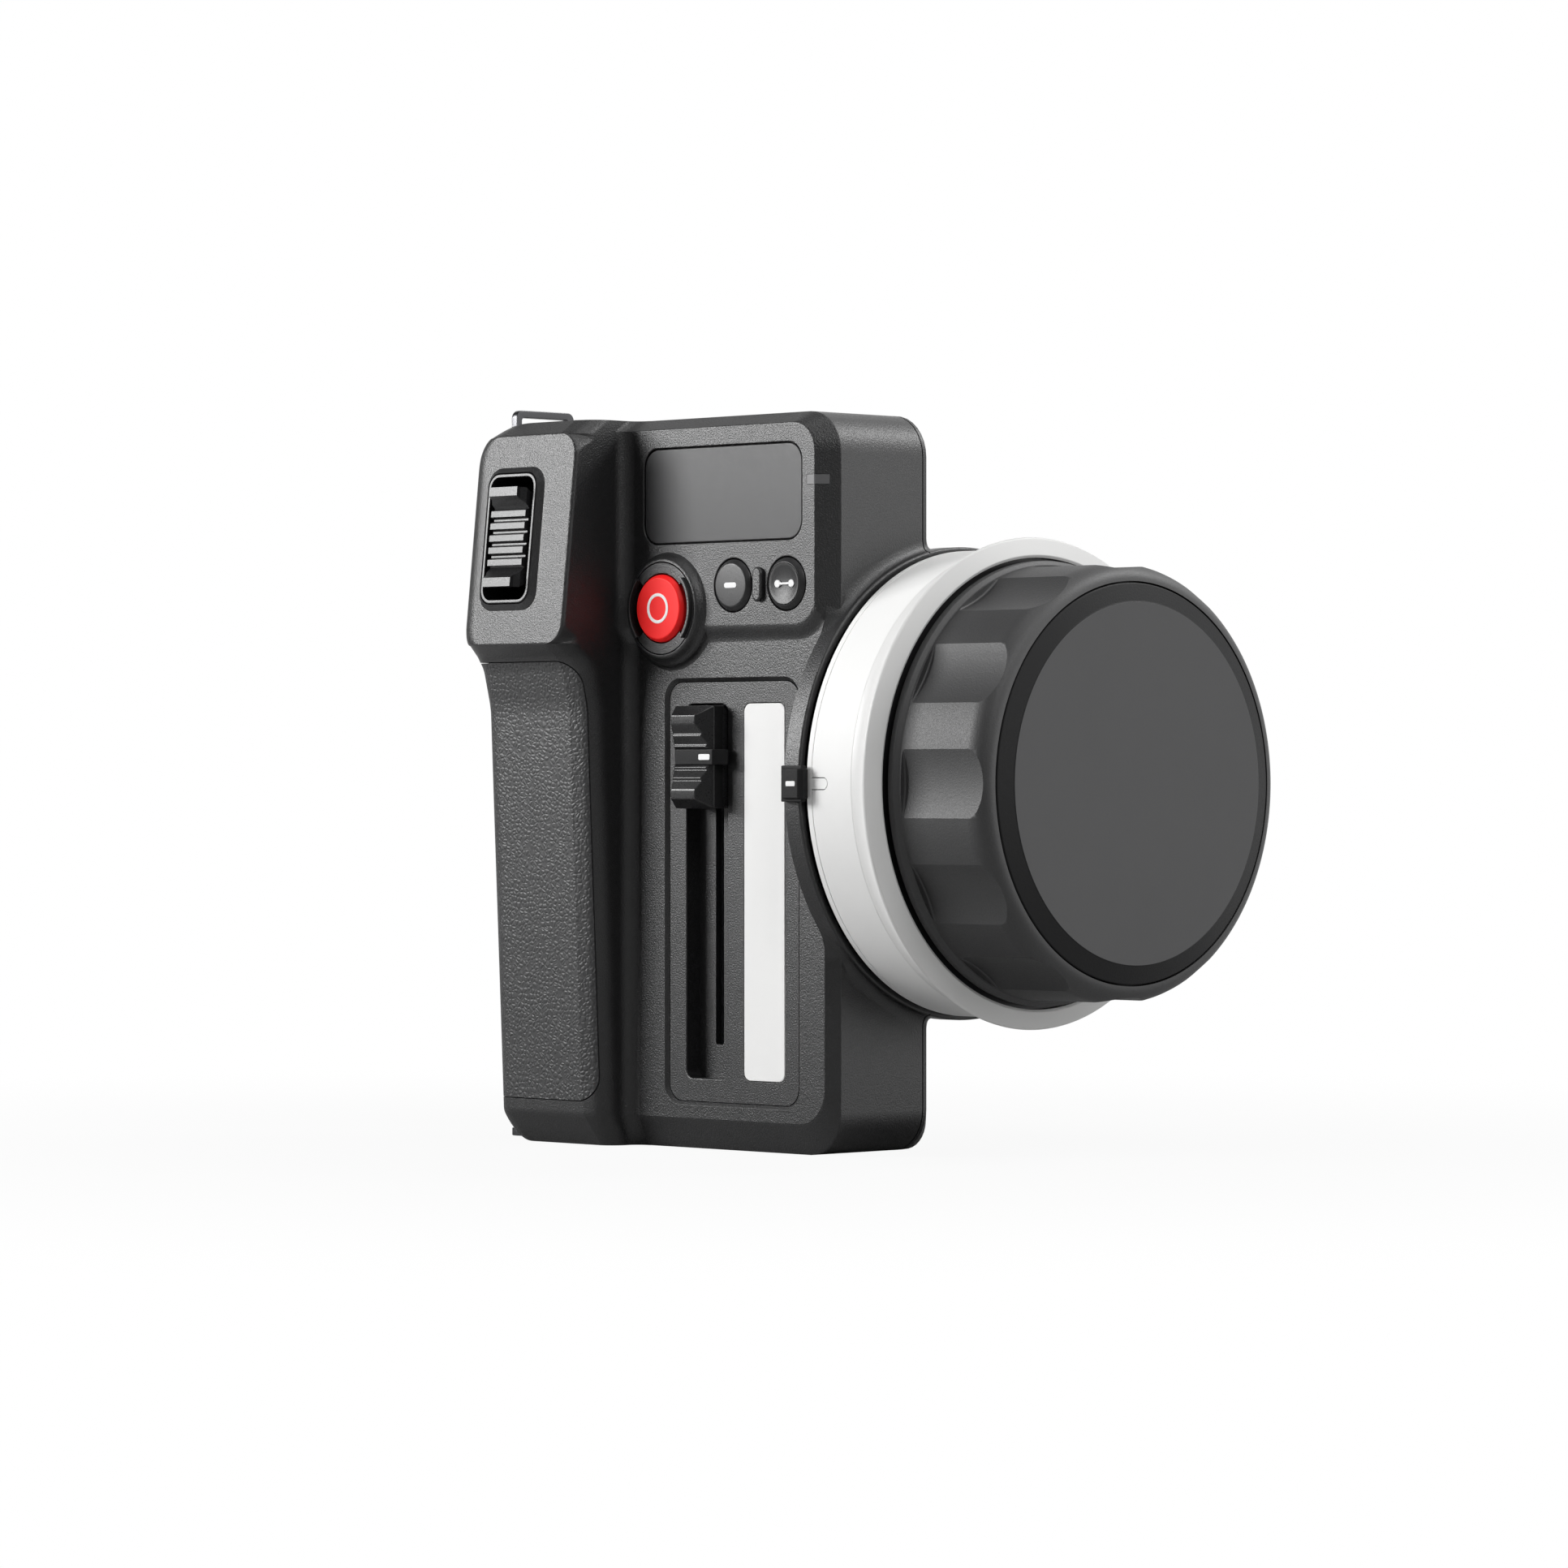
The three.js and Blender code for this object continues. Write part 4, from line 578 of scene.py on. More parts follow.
class Grain(Enum):
    """How a surface was made, which decides its pattern."""

    MOULDED = "moulded"
    LEATHER = "leather"
    POLISHED = "polished"
    BRUSHED = "brushed"
    SANDED = "sanded"


@dataclass(frozen=True)
class Finish:
    """One material: what it is, its colours and how its surface was made."""

    name: str
    colour: str
    roughness: float
    grain: Grain = Grain.MOULDED
    grain_mm: float = 0.5
    relief: float = 0.25
    tint: float = 0.08
    metallic: float = 0.0
    specular: float = 0.5

    def build(self) -> bpy.types.Material:
        """Makes the material, if it isn't there yet, and returns it."""
        found = bpy.data.materials.get(self.name)
        if found:
            return found
        material = bpy.data.materials.new(self.name)
        tree = emptied(material)
        place = add_node(tree, "ShaderNodeTexCoord").outputs["Object"]
        height, strength, distance = self.pattern(tree, place)
        # Uneven colour and gloss over a few centimetres, as on any moulded or handled surface
        cloud = noise(tree, place, 60.0, 3.0, 0.6)
        red, green, blue, _ = linear(self.colour)
        darker, lighter = ((*(min(1.0, c * (1 + t)) for c in (red, green, blue)), 1.0) for t in (-self.tint, self.tint))
        inputs = {
            "Base Color": add_node(
                tree, "ShaderNodeMix", {"data_type": "RGBA"}, {0: cloud, 6: darker, 7: lighter}
            ).outputs[2],
            "Roughness": ramp(
                tree, height, 0.25, 0.75, self.roughness - GLOSS_SPREAD, self.roughness + GLOSS_SPREAD, "LINEAR"
            ),
            "Metallic": self.metallic,
            "Specular IOR Level": self.specular,
        }
        if strength:
            inputs["Normal"] = add_node(
                tree, "ShaderNodeBump", inputs={"Height": height, "Strength": strength, "Distance": distance}
            ).outputs["Normal"]
        shader = add_node(tree, "ShaderNodeBsdfPrincipled", inputs=inputs)
        add_node(tree, "ShaderNodeOutputMaterial", inputs={"Surface": shader.outputs["BSDF"]})
        return material

    def pattern(self, tree: Tree, place: Socket) -> tuple[Socket, float, float]:
        """Makes the surface's pattern at its real size.

        Args:
            tree: The material's node tree.
            place: The place on the piece.

        Returns:
            The pattern's height, the bump's strength and its depth in metres.
        """
        per_metre = 1.0 / (self.grain_mm * MM)
        if self.grain is Grain.LEATHER:
            # Pebbles as large as the grain, with fine creases between them
            inputs = {"Vector": place, "Scale": per_metre, "Randomness": 1.0}
            cells = add_node(tree, "ShaderNodeTexVoronoi", {"feature": "DISTANCE_TO_EDGE"}, inputs).outputs["Distance"]
            return ramp(tree, cells, 0.0, 0.35), self.relief, self.grain_mm * 0.2 * MM
        if self.grain is Grain.BRUSHED:
            # Fine lines along one direction
            stretched = add_node(tree, "ShaderNodeMapping", inputs={"Vector": place, "Scale": (1.0, 0.04, 1.0)})
            return noise(tree, stretched.outputs["Vector"], per_metre), self.relief, self.grain_mm * 0.1 * MM
        depth = self.grain_mm * (0.35 if self.grain is Grain.MOULDED else 0.1)
        strength = 0.0 if self.grain is Grain.POLISHED else self.relief
        return noise(tree, place, per_metre, roughness=0.55), strength, depth * MM


# Glass-filled nylon, moulded in a spark-eroded tool: black, satin and finely pebbled
BODY_NYLON = Finish("spark_textured_nylon", "161617", 0.4, Grain.MOULDED, 0.26, 0.9, specular=0.75)
# Silicone-blend rubber with a leather grain from its mould: soft gloss on the pebbles
GRIP_RUBBER = Finish("leather_grain_rubber", "2a2a2b", 0.5, Grain.LEATHER, 0.8, 0.45, specular=0.7)
# Moulded rubber of the wheel: fine even grain and a dry, wide highlight
WHEEL_RUBBER = Finish("flexible_wheel_rubber", "272728", 0.55, Grain.MOULDED, 0.3, 0.3, specular=0.8)
# Hard-coated acrylic over a display that is off: near black, with a soft anti-glare gloss
WINDOW_ACRYLIC = Finish("display_acrylic", "343435", 0.38, Grain.POLISHED, specular=0.35)
# White ABS with a bead-blasted face to write on: even, matte and slightly grained
WHITE_ABS = Finish("writing_white_abs", "eeeeed", 0.6, Grain.SANDED, 0.3, 0.2, 0.02)
# Printed white ink: flat and matte
WHITE_INK = Finish("white_ink", "f2f2f2", 0.7, Grain.SANDED, 0.3, 0.05, 0.02)
# Frosted polycarbonate: milky, lets a little light in and blurs every highlight
FROSTED_PC = Finish("frosted_polycarbonate", "e0e0df", 0.4, Grain.SANDED, 0.25, 0.15, 0.03, specular=0.4)
# Smoke-tinted polycarbonate of the status light, which is off
SMOKED_PC = Finish("smoked_polycarbonate", "5c5c5d", 0.4, Grain.SANDED, 0.25, 0.1, 0.03)
# Satin ABS of the round keys: smoother than the body
KEY_ABS = Finish("satin_key_abs", "232324", 0.4, Grain.MOULDED, 0.3, 0.12)
# Polished-tool ABS of the rocker and the sliding thumb piece: black with bright highlights on its ribs
RIB_ABS = Finish("satin_black_abs", "1f1f20", 0.3, Grain.MOULDED, 0.25, 0.1)
# Matte black ABS of the two pointers and the band round the cap
POINTER_ABS = Finish("matte_black_abs", "151516", 0.5, Grain.MOULDED, 0.3, 0.2, specular=0.2)
# Satin paint on the wheel's cap
CAP_PAINT = Finish("satin_cap_paint", "3c3c3d", 0.45, Grain.SANDED, 0.25, 0.1)
# Through-dyed red ABS of the record key
RED_ABS = Finish("record_red_abs", "ff2222", 0.38, Grain.MOULDED, 0.3, 0.08, 0.03, specular=0.2)
# Stamped steel of the strap lugs, blackened and tumbled to a satin face
LUG_STEEL = Finish("blackened_tumbled_steel", "5c5c5e", 0.32, Grain.BRUSHED, 0.2, 0.1, 0.04, metallic=1.0)
# Bright zinc on screws, shafts and sockets
ZINC_STEEL = Finish("zinc_plated_steel", "a9abad", 0.3, Grain.BRUSHED, 0.15, 0.08, 0.04, metallic=1.0)
# Turned and blasted aluminium of the motor and the slide potentiometer
BLASTED_ALUMINIUM = Finish("blasted_aluminium", "8d8f92", 0.4, Grain.SANDED, 0.2, 0.1, 0.04, metallic=1.0)
# Blasted and black-anodised aluminium of the wheel's base
ANODISED_BLACK = Finish("black_anodised_aluminium", "232324", 0.4, Grain.SANDED, 0.2, 0.1, 0.04, metallic=1.0)
# Green solder mask on the circuit boards
SOLDER_MASK = Finish("solder_mask_green", "1f4d36", 0.4, Grain.SANDED, 0.3, 0.05)
# Shrink wrap round the battery's cells
CELL_WRAP = Finish("cell_shrink_wrap", "31456b", 0.35, Grain.SANDED, 0.3, 0.05)


@dataclass(kw_only=True)
class Piece:
    """Puts finished pieces on their bodies."""

    body: str = "housing"

    def settle(self, obj: Solid, finish: Finish, slot: str, node: str, body: Optional[str] = None) -> None:
        """Shades a piece, gives it its material and lets it stand for a CAD node.

        Args:
            obj: The piece.
            finish: Its finish.
            slot: The record's material slot; not used.
            node: The CAD node that it stands for.
            body: The body that it rides on, if not the assembly's own.
        """
        Bench.smooth(obj)
        obj.data.materials.clear()
        obj.data.materials.append(finish.build())
        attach(obj, body or self.body)
        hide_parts(node)
        log.info("piece %s: %d faces", obj.name, len(obj.data.polygons))

    def printed(self, name: str, node: str, box: Box, corner: float, front: float, back: float, steps: int) -> None:
        """Makes a mark of white ink.

        Args:
            name: The piece's name.
            node: The CAD node that it stands for.
            box: The mark's left, right, lower and upper side.
            corner: Its corners' radius.
            front: Where its front lies along Y.
            back: Where its back lies along Y.
            steps: How many straight bits each corner has.
        """
        mark = Bench.plate(name, rounded_box(*box, corner, steps), front, back, edge=0.04, steps=2)
        self.settle(mark, WHITE_INK, "white_plastic", node)

    def refinish(self, obj: Solid, finish: Finish, belongs: Callable[[Vector], bool]) -> None:
        """Gives some of a settled piece's faces another finish.

        Args:
            obj: The piece.
            finish: The other finish.
            belongs: Tells by a face's middle, in millimetres, whether it gets it.
        """
        obj.data.materials.append(finish.build())
        for side in obj.data.polygons:
            if belongs(in_mm(side.center)):
                side.material_index = 1


def dress(finish: Finish, *nodes: str) -> None:
    """Gives CAD nodes that stay as they are their material.

    Args:
        finish: The finish.
        nodes: The nodes' names.
    """
    for name in nodes:
        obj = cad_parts[name]
        obj.data.materials.clear()
        obj.data.materials.append(finish.build())
        log.info("node %s: %s", name, finish.name)


@dataclass(kw_only=True)
class Studio:
    """Floor, lamps, world and camera."""

    eye: Spot = (704.2, -704.0, 62.0)
    look: Spot = (-0.7108, 0.7034, 0.0)
    lens: float = 137.7
    sensor: float = 36.0
    photo_pixels: int = 1932
    raised_pixels: float = 0.4
    floor_white: float = 0.93
    front_dim: float = 0.12
    fill: float = 0.15
    lamps_aim: Spot = (0.02, 0.0, 0.062)

    def build(self) -> None:
        """Sets up all that isn't the object."""
        self.floor()
        # A near softbox at the front left, and weaker ones to the right, above and behind
        self.lamp("key_lamp", (-0.28, -0.345, 0.228), (0.24, 0.19), 2.3)
        self.lamp("wheel_lamp", (0.75, -0.25, 0.75), (0.5, 0.5), 3.4)
        self.lamp("side_lamp", (0.95, 0.3, 0.1), (0.4, 0.4), 1.9)
        self.lamp("top_lamp", (0.1, -0.1, 1.3), (0.6, 0.6), 2.5)
        self.lamp("back_lamp", (0.28, 0.4, 0.5), (0.2, 0.2), 1.6)
        self.world()
        self.camera()

    def floor(self) -> None:
        """Makes the pale floor, which shows white and keeps the object's shadow."""
        bpy.ops.object.select_all(action="DESELECT")
        bpy.ops.mesh.primitive_plane_add(size=4.0, location=(0, 0, 0))
        floor = bpy.context.object
        floor.name = "floor"
        material = bpy.data.materials.new("pale_floor")
        tree = emptied(material)
        pale = add_node(tree, "ShaderNodeBsdfPrincipled", inputs={"Base Color": linear("a4a4a4"), "Roughness": 0.9})
        white = add_node(tree, "ShaderNodeEmission", inputs={"Color": linear("ffffff"), "Strength": 1.0})
        place = add_node(tree, "ShaderNodeTexCoord").outputs["Object"]
        reach = add_node(tree, "ShaderNodeVectorMath", {"operation": "LENGTH"}, {0: place}).outputs["Value"]
        # Near the object the floor shows its shadow, and far away it is as white as the wall behind it
        far = ramp(tree, reach, 0.05, 0.3, self.floor_white)
        behind = ramp(tree, add_node(tree, "ShaderNodeSeparateXYZ", inputs={0: place}).outputs["Y"], 0.0, 0.25)
        share = combined(tree, "MULTIPLY", self.seen(tree, behind), far)
        self.mixed(tree, "Material", share, pale, white)
        floor.data.materials.append(material)

    def mixed(self, tree: Tree, kind: str, share: Socket, first: bpy.types.Node, second: bpy.types.Node) -> None:
        """Mixes two shaders into a tree's output.

        Args:
            tree: The node tree.
            kind: Whether it is a Material's or the World's.
            share: How much of the second shader shows.
            first: The first shader.
            second: The second shader.
        """
        inputs = {0: share, 1: first.outputs[0], 2: second.outputs[0]}
        mix = add_node(tree, "ShaderNodeMixShader", inputs=inputs).outputs["Shader"]
        add_node(tree, f"ShaderNodeOutput{kind}", inputs={"Surface": mix})

    def seen(self, tree: Tree, mirrored: Optional[Socket] = None) -> Socket:
        """Tells the rays that see the background, straight or in a reflection, from those that light the object.

        Args:
            tree: The node tree.
            mirrored: How much of the background a reflection sees, if not all.

        Returns:
            1 for a ray that sees it.
        """
        path = add_node(tree, "ShaderNodeLightPath").outputs
        bent = combined(tree, "MAXIMUM", path["Is Glossy Ray"], path["Is Transmission Ray"])
        if mirrored:
            bent = combined(tree, "MULTIPLY", bent, mirrored)
        return combined(tree, "MAXIMUM", path["Is Camera Ray"], bent)

    def lamp(self, name: str, at: Spot, size: tuple[float, float], power: float) -> None:
        """Adds a soft area lamp that looks at the object.

        Args:
            name: The lamp's name.
            at: Its place in metres.
            size: Its width and height in metres.
            power: Its power in watts.
        """
        data = bpy.data.lights.new(name, "AREA")
        data.shape = "RECTANGLE"
        data.size, data.size_y = size
        data.energy = power
        self.placed(name, data, Vector(at), Vector(self.lamps_aim) - Vector(at))

    def placed(self, name: str, data: bpy.types.ID, at: Vector, look: Vector) -> Solid:
        """Puts a lamp or the camera into the scene.

        Args:
            name: The object's name.
            data: The lamp's or the camera's own data.
            at: Its place in metres.
            look: The direction in which it looks.

        Returns:
            The object.
        """
        obj = bpy.data.objects.new(name, data)
        obj.location = at
        obj.rotation_euler = look.to_track_quat("-Z", "Y").to_euler()
        bpy.context.scene.collection.objects.link(obj)
        return obj

    def world(self) -> None:
        """Lights the scene evenly, and shows the white wall behind the object and the dim room before it."""
        bpy.context.scene.world = bpy.data.worlds.new("studio")
        tree = emptied(bpy.context.scene.world)
        way = add_node(tree, "ShaderNodeTexCoord").outputs["Generated"]
        wall = ramp(
            tree, add_node(tree, "ShaderNodeSeparateXYZ", inputs={0: way}).outputs["Y"], 0.05, 0.6, self.front_dim
        )
        # The camera sees white on every side
        straight = add_node(tree, "ShaderNodeLightPath").outputs["Is Camera Ray"]
        white, dim = (
            add_node(tree, "ShaderNodeBackground", inputs={"Color": linear("ffffff"), "Strength": strength})
            for strength in (combined(tree, "MAXIMUM", wall, straight), self.fill)
        )
        self.mixed(tree, "World", self.seen(tree), dim, white)

    def camera(self) -> None:
        """Places the camera where the photograph was taken from."""
        data = bpy.data.cameras.new("camera")
        data.lens = self.lens
        data.sensor_width = self.sensor
        data.clip_end = 20.0
        # The fitted view's middle is a little higher than the photograph's.
        data.shift_y = -self.raised_pixels / self.photo_pixels
        bpy.context.scene.camera = self.placed("camera", data, spot(*self.eye), Vector(self.look))


def between(line: Sequence[Point], at: float) -> float:
    """Reads a value off a line of points.

    Args:
        line: Points whose first coordinate rises.
        at: The first coordinate to read at.

    Returns:
        The second coordinate there.
    """
    for (a, va), (b, vb) in zip(line, line[1:]):
        if at <= b:
            return va + (vb - va) * max(0.0, at - a) / max(b - a, 1e-9)
    return line[-1][1]


def round_cutter(
    name: str, centre: Spot, radius: float, mouth: float, back: float, flare: float, axis: Axis = Axis.FRONT
) -> Solid:
    """Makes a cutter for a round hole that leaves a rounded mouth.

    Args:
        name: The object's name.
        centre: A point of the hole's axis.
        radius: The hole's radius.
        mouth: Where the surface lies along the axis.
        back: Where the hole ends.
        flare: The mouth's rounding.
        axis: The hole's direction.

    Returns:
        The cutter.
    """
    way = 1.0 if back > mouth else -1.0
    lip = [
        (radius + flare * (1 - math.cos(math.radians(t))), mouth + way * flare * (1 - math.sin(math.radians(t))))
        for t in (90, 60, 30, 0)
    ]
    profile = [(0.0, mouth - way * 4), (radius + flare, mouth - way * 4), *lip, (radius, back), (0.0, back)]
    return Bench.turned(name, profile, centre, axis, steps=72)


@dataclass(kw_only=True)
class BodyForm:
    """The body's outer form, from which both shells and the grip pad are made."""

    left: float = -73.6
    side: float = 3.15
    height: float = 124.2
    parting: float = 22.6
    back_lip: float = 0.9
    corner_bottom_left: float = 5.5
    corner_right: float = 7.2
    corner_top_left: float = 8.0
    face_corner: float = 5.0
    top_bevel: float = 1.9
    bottom_bevel: float = 5.2
    step_depth: float = 1.2
    step_width: float = 2.9
    step_top: float = 88.8
    step_corner: float = 4.8
    wall: float = -46.0
    foot_radius: float = 2.6
    outer_corner: float = 5.0
    least_outer_corner: float = 2.2
    soft_edge: float = 0.5
    crisp_edge: float = 0.35
    groove_width: float = 0.12
    groove_depth: float = 0.35
    front_line: tuple[Point, ...] = (
        (0.0, -3.0), (5.2, -5.8), (17.0, -6.3), (62.0, -8.3), (75.0, -8.85), (82.8, -10.73), (85.8, -14.9),
        (121.8, -11.0), (124.2, -7.6),
    )
    front_radii: tuple[tuple[int, float], ...] = (
        (1, 3.0), (3, 120.0), (4, 16.0), (5, 5.5), (6, 0.5), (7, 0.45),
    )
    inner_corners: tuple[Point, ...] = (
        (0.0, 2.76), (5.2, 4.14), (12.0, 4.6), (82.8, 4.6), (85.8, 4.3), (124.2, 4.3),
    )
    block_face: tuple[float, float] = (85.8, 121.8)
    block_corner: float = 3.6
    block_edge: float = 0.7
    flank_radius: float = 4.0
    column_overlap: float = 2.7
    trim: float = 0.5

    def front_profile(self) -> list[Point]:
        """Draws the column's front as (height, y), with its bends rounded."""
        return rounded(list(self.front_line), dict(self.front_radii), 7)

    def panel_face(self, z: float) -> float:
        """Gives the panel's face at a height: forward at the display, back at the lower panel and bevels."""
        if z < self.bottom_bevel:
            return self.step_depth + (self.side - self.step_depth) * (1 - z / self.bottom_bevel)
        if z > self.height - self.top_bevel:
            return self.side * (z - self.height + self.top_bevel) / self.top_bevel
        share = min(1.0, max(0.0, (self.step_top - z) / self.step_width))
        return self.step_depth * share * share * (3 - 2 * share)

    def side_at(self, y: float) -> float:
        """Gives the right side at a depth, with the planes of the front and back bevels."""
        return min(self.side, y, self.side - (y - self.parting - self.back_lip))

    def left_at(self, z: float) -> float:
        """Gives the left side at a height, drawn in at the rounded corners."""
        low, high = self.corner_bottom_left, self.corner_top_left
        if z < low:
            return self.left + low - math.sqrt(max(0.0, low * low - (low - z) ** 2))
        if z > self.height - high:
            return self.left + high - math.sqrt(max(0.0, high * high - (z - self.height + high) ** 2))
        return self.left

    def corner_drop(self, z: float) -> float:
        """Gives how far the rounding of the block's face has drawn in its sides at a height."""
        low, high = self.block_face
        r = self.block_corner
        from_end = min(max(min(z - low, high - z), 0.0), r)
        return r - math.sqrt(r * r - (r - from_end) ** 2)

    def inner_corner(self, right: float, front: float, z: float, inset: float) -> list[Point]:
        """Draws the column's right front corner: a crisp edge at the block's face, then the flank.

        Args:
            right: Where the flank lies.
            front: Where the column's front lies.
            z: The height.
            inset: How far the column is drawn in.

        Returns:
            The corner's points, from the front to the flank.
        """
        crisp = self.block_edge
        if self.block_face[0] <= z <= self.block_face[1]:
            drop = self.corner_drop(z)
            # The edge turns by a right angle at the face's side and hardly at all at its top and bottom.
            around = math.acos(max(0.0, 1 - drop / self.block_corner))
            tilt = math.radians(90) - around / 3
            turn = math.atan2(math.cos(around) * math.sin(tilt), math.cos(tilt))
            reach = crisp + drop
        else:
            reach, turn = max(between(self.inner_corners, z) - inset, 1.2), 0.0
        turn = min(max(turn, math.radians(15)), math.radians(75))
        cx, cy = right - reach, front + crisp
        edge = arc(cx, cy, crisp, 270, 270 + math.degrees(turn), 5)
        x, y = edge[-1]
        left_over = 1 - math.sin(turn)
        r = min(self.flank_radius, (right - x) / left_over)
        run = (right - x - r * left_over) / math.cos(turn)
        x, y = x + run * math.cos(turn), y + run * math.sin(turn)
        bend = arc(x - r * math.sin(turn), y + r * math.cos(turn), r, 270 + math.degrees(turn), 360, 8)
        return edge + bend[1:]

    def levels(self) -> list[float]:
        """Lists the heights at which the column's outline is drawn."""
        low, high = self.corner_bottom_left, self.corner_top_left
        heights = {round(z, 3) for z, _ in self.front_profile()}
        heights |= {round(low - low * math.sin(math.radians(a)), 3) for a in range(0, 91, 10)}
        heights |= {round(self.height - high + high * math.sin(math.radians(a)), 3) for a in range(0, 91, 9)}
        heights |= {round(self.step_top - self.step_width * k / 8, 3) for k in range(9)}
        heights |= {round(3.0 * k, 3) for k in range(42)}
        heights |= {self.bottom_bevel, self.height - self.top_bevel, *self.block_face}
        for k in range(9):
            from_end = self.block_corner * (1 - math.sin(math.pi / 2 * k / 8))
            heights |= {round(self.block_face[0] + from_end, 3), round(self.block_face[1] - from_end, 3)}
        kept: list[float] = [0.0]
        for z in sorted(h for h in heights if 0 < h < self.height):
            if z - kept[-1] > 0.07 and self.height - z > 0.02:
                kept.append(z)
        return kept + [self.height]

    def column(self, name: str, inset: float = 0.0) -> Solid:
        """Makes the grip column, outline over outline.

        Args:
            name: The object's name.
            inset: How far it is drawn in on its left, front and right.

        Returns:
            The column.
        """
        profile = self.front_profile()
        foot_right = self.wall + self.foot_radius
        rings = []
        for z in self.levels():
            left = self.left_at(z)
            drawn = left - self.left
            outer = max(self.least_outer_corner, self.outer_corner - drawn * 0.5) - inset * 0.9
            below = max(0.0, 1 - max(0.0, self.block_face[0] - z) / 3.0)
            outer += self.corner_drop(z) * 0.6 * below * below * (3 - 2 * below)
            left += inset
            front = between(profile, z) + inset
            right = self.wall - inset
            foot = self.panel_face(z)
            points = [
                (left, self.parting + self.column_overlap),
                *arc(left + outer, front + outer, outer, 180, 270, 10),
                *self.inner_corner(right, front, z, inset),
                *arc(foot_right, foot - self.foot_radius, self.foot_radius + inset, 180, 96, 8),
                (foot_right + 0.3, foot + inset + 0.05),
                (foot_right + 0.3, self.parting + self.column_overlap),
            ]
            rings.append([spot(x, y, z) for x, y in points])
        # The ends stand a little past the foot and the top, where the whole form is trimmed level.
        past = Vector((0, 0, self.trim * MM))
        return Bench.lofted(name, [[at - past for at in rings[0]], *rings, [at + past for at in rings[-1]]])

    def slab(self, name: str, face: float, tucked: float = 0.0) -> Solid:
        """Makes the body's flat part with bevels round one of its faces.

        Args:
            name: The object's name.
            face: Where its front face lies along Y.
            tucked: The side beyond which its back is tucked into another slab, or 0 for none.

        Returns:
            The slab.
        """
        side = tucked or self.side
        proud = 0.01 if tucked else 0.0
        line = rounded(
            [(side - proud * 9, 9.0), (side, side - proud), (face + proud, face), (-6.0, face)],
            {2: self.soft_edge} if tucked else {1: self.crisp_edge, 2: self.soft_edge},
            5,
        )
        bottom_share = self.bottom_bevel / (self.side - face)
        sections = []
        for x, y in [(side - proud * 9, self.parting + 2), *line[1:-1]]:
            drawn = self.side - x
            corner = self.corner_right - (self.corner_right - self.face_corner) * drawn / self.side
            low = min(self.bottom_bevel, drawn * bottom_share) + 0.01
            high = self.height - drawn * self.top_bevel / self.side - 0.01
            sections.append((y, rounded_box(self.left + 14, x, low, high, (1.0, corner, corner, 1.0))))
        return Bench.stacked(name, sections)

    def raised_region(self, name: str) -> Solid:
        """Makes the region of the raised display panel, with a soft step at its foot."""
        shares = (1.0, 0.88, 0.75, 0.62, 0.5, 0.38, 0.25, 0.12, 0.0)
        steps = [(2.0, 1.02), *((self.step_depth * s * s * (3 - 2 * s), s) for s in shares), (-3.0, -0.02)]
        inner, outer = self.left + 15, self.side + 3
        centre_x, centre_z = -self.step_corner, self.step_top + self.step_corner
        sections = []
        for y, share in steps:
            radius = self.step_corner + self.step_width * share
            edge = [(inner, centre_z - radius), *arc(centre_x, centre_z, radius, -90, 0, 14), (outer, centre_z + 0.01)]
            sections.append((y, [*edge, (outer, self.height + 3), (inner, self.height + 3)]))
        return Bench.stacked(name, sections)

    def outline(self, inset: float = 0.0) -> list[Point]:
        """Draws the body's outline as seen from the front."""
        radii = (self.corner_bottom_left, self.corner_right, self.corner_right, self.corner_top_left)
        return rounded_box(
            self.left + inset, self.side - inset, inset, self.height - inset, [r - inset for r in radii]
        )

    def groove(self, name: str) -> Solid:
        """Makes the cutter for the fine groove where the shells meet."""
        at, half = self.parting, self.groove_width
        cutter = Bench.plate(name, self.outline(-2.0), at - half, at + half)
        kept = Bench.plate("groove_core", self.outline(self.groove_depth), at - 3, at + 3)
        Bench.combine(kept, [Bench.block("groove_ring", (0.0, at - 4, 23.3), (12.0, at + 4, 100.7))], "UNION")
        return Bench.combine(cutter, [kept], "DIFFERENCE")


@dataclass(kw_only=True)
class BlockFace:
    """The leaning face that carries the thumb rocker; pieces are made square to it and then leant."""

    x: float = -60.5
    y: float = -12.928
    z: float = 104.0
    lean: float = -6.183
    bezel_width: float = 12.1
    bezel_height: float = 22.5
    bezel_corner: float = 2.4
    rise: float = 0.95
    flank: float = 1.2

    def lean_on(self, obj: Solid) -> Solid:
        """Moves a piece made about the frame's own zero onto the leaning face.

        Args:
            obj: The piece.

        Returns:
            The same piece.
        """
        Bench.whole(obj)
        bpy.ops.transform.rotate(
            value=-math.radians(self.lean), orient_axis="X", orient_type="GLOBAL", center_override=spot(0, 0, 0)
        )
        bpy.ops.transform.translate(value=Vector((self.x, self.y, self.z)) * MM)
        Bench.leave()
        return obj

    def outline(self, grow: float = 0.0) -> list[Point]:
        """Draws the rocker tub's outline."""
        w, h, r = self.bezel_width / 2 + grow, self.bezel_height / 2 + grow, self.bezel_corner + grow * 0.8
        return rounded_box(-w, w, -h, h, r)

    def frame(self) -> Solid:
        """Makes the raised frame round the rocker, with soft sloping flanks."""
        steps = ((1.5, 1.0), (0.12, 1.0), (-0.1, 0.93), (-0.75, 0.22), (-0.9, 0.08), (-self.rise, -0.08))
        return self.lean_on(Bench.stacked("rocker_frame", [(y, self.outline(self.flank * s)) for y, s in steps]))


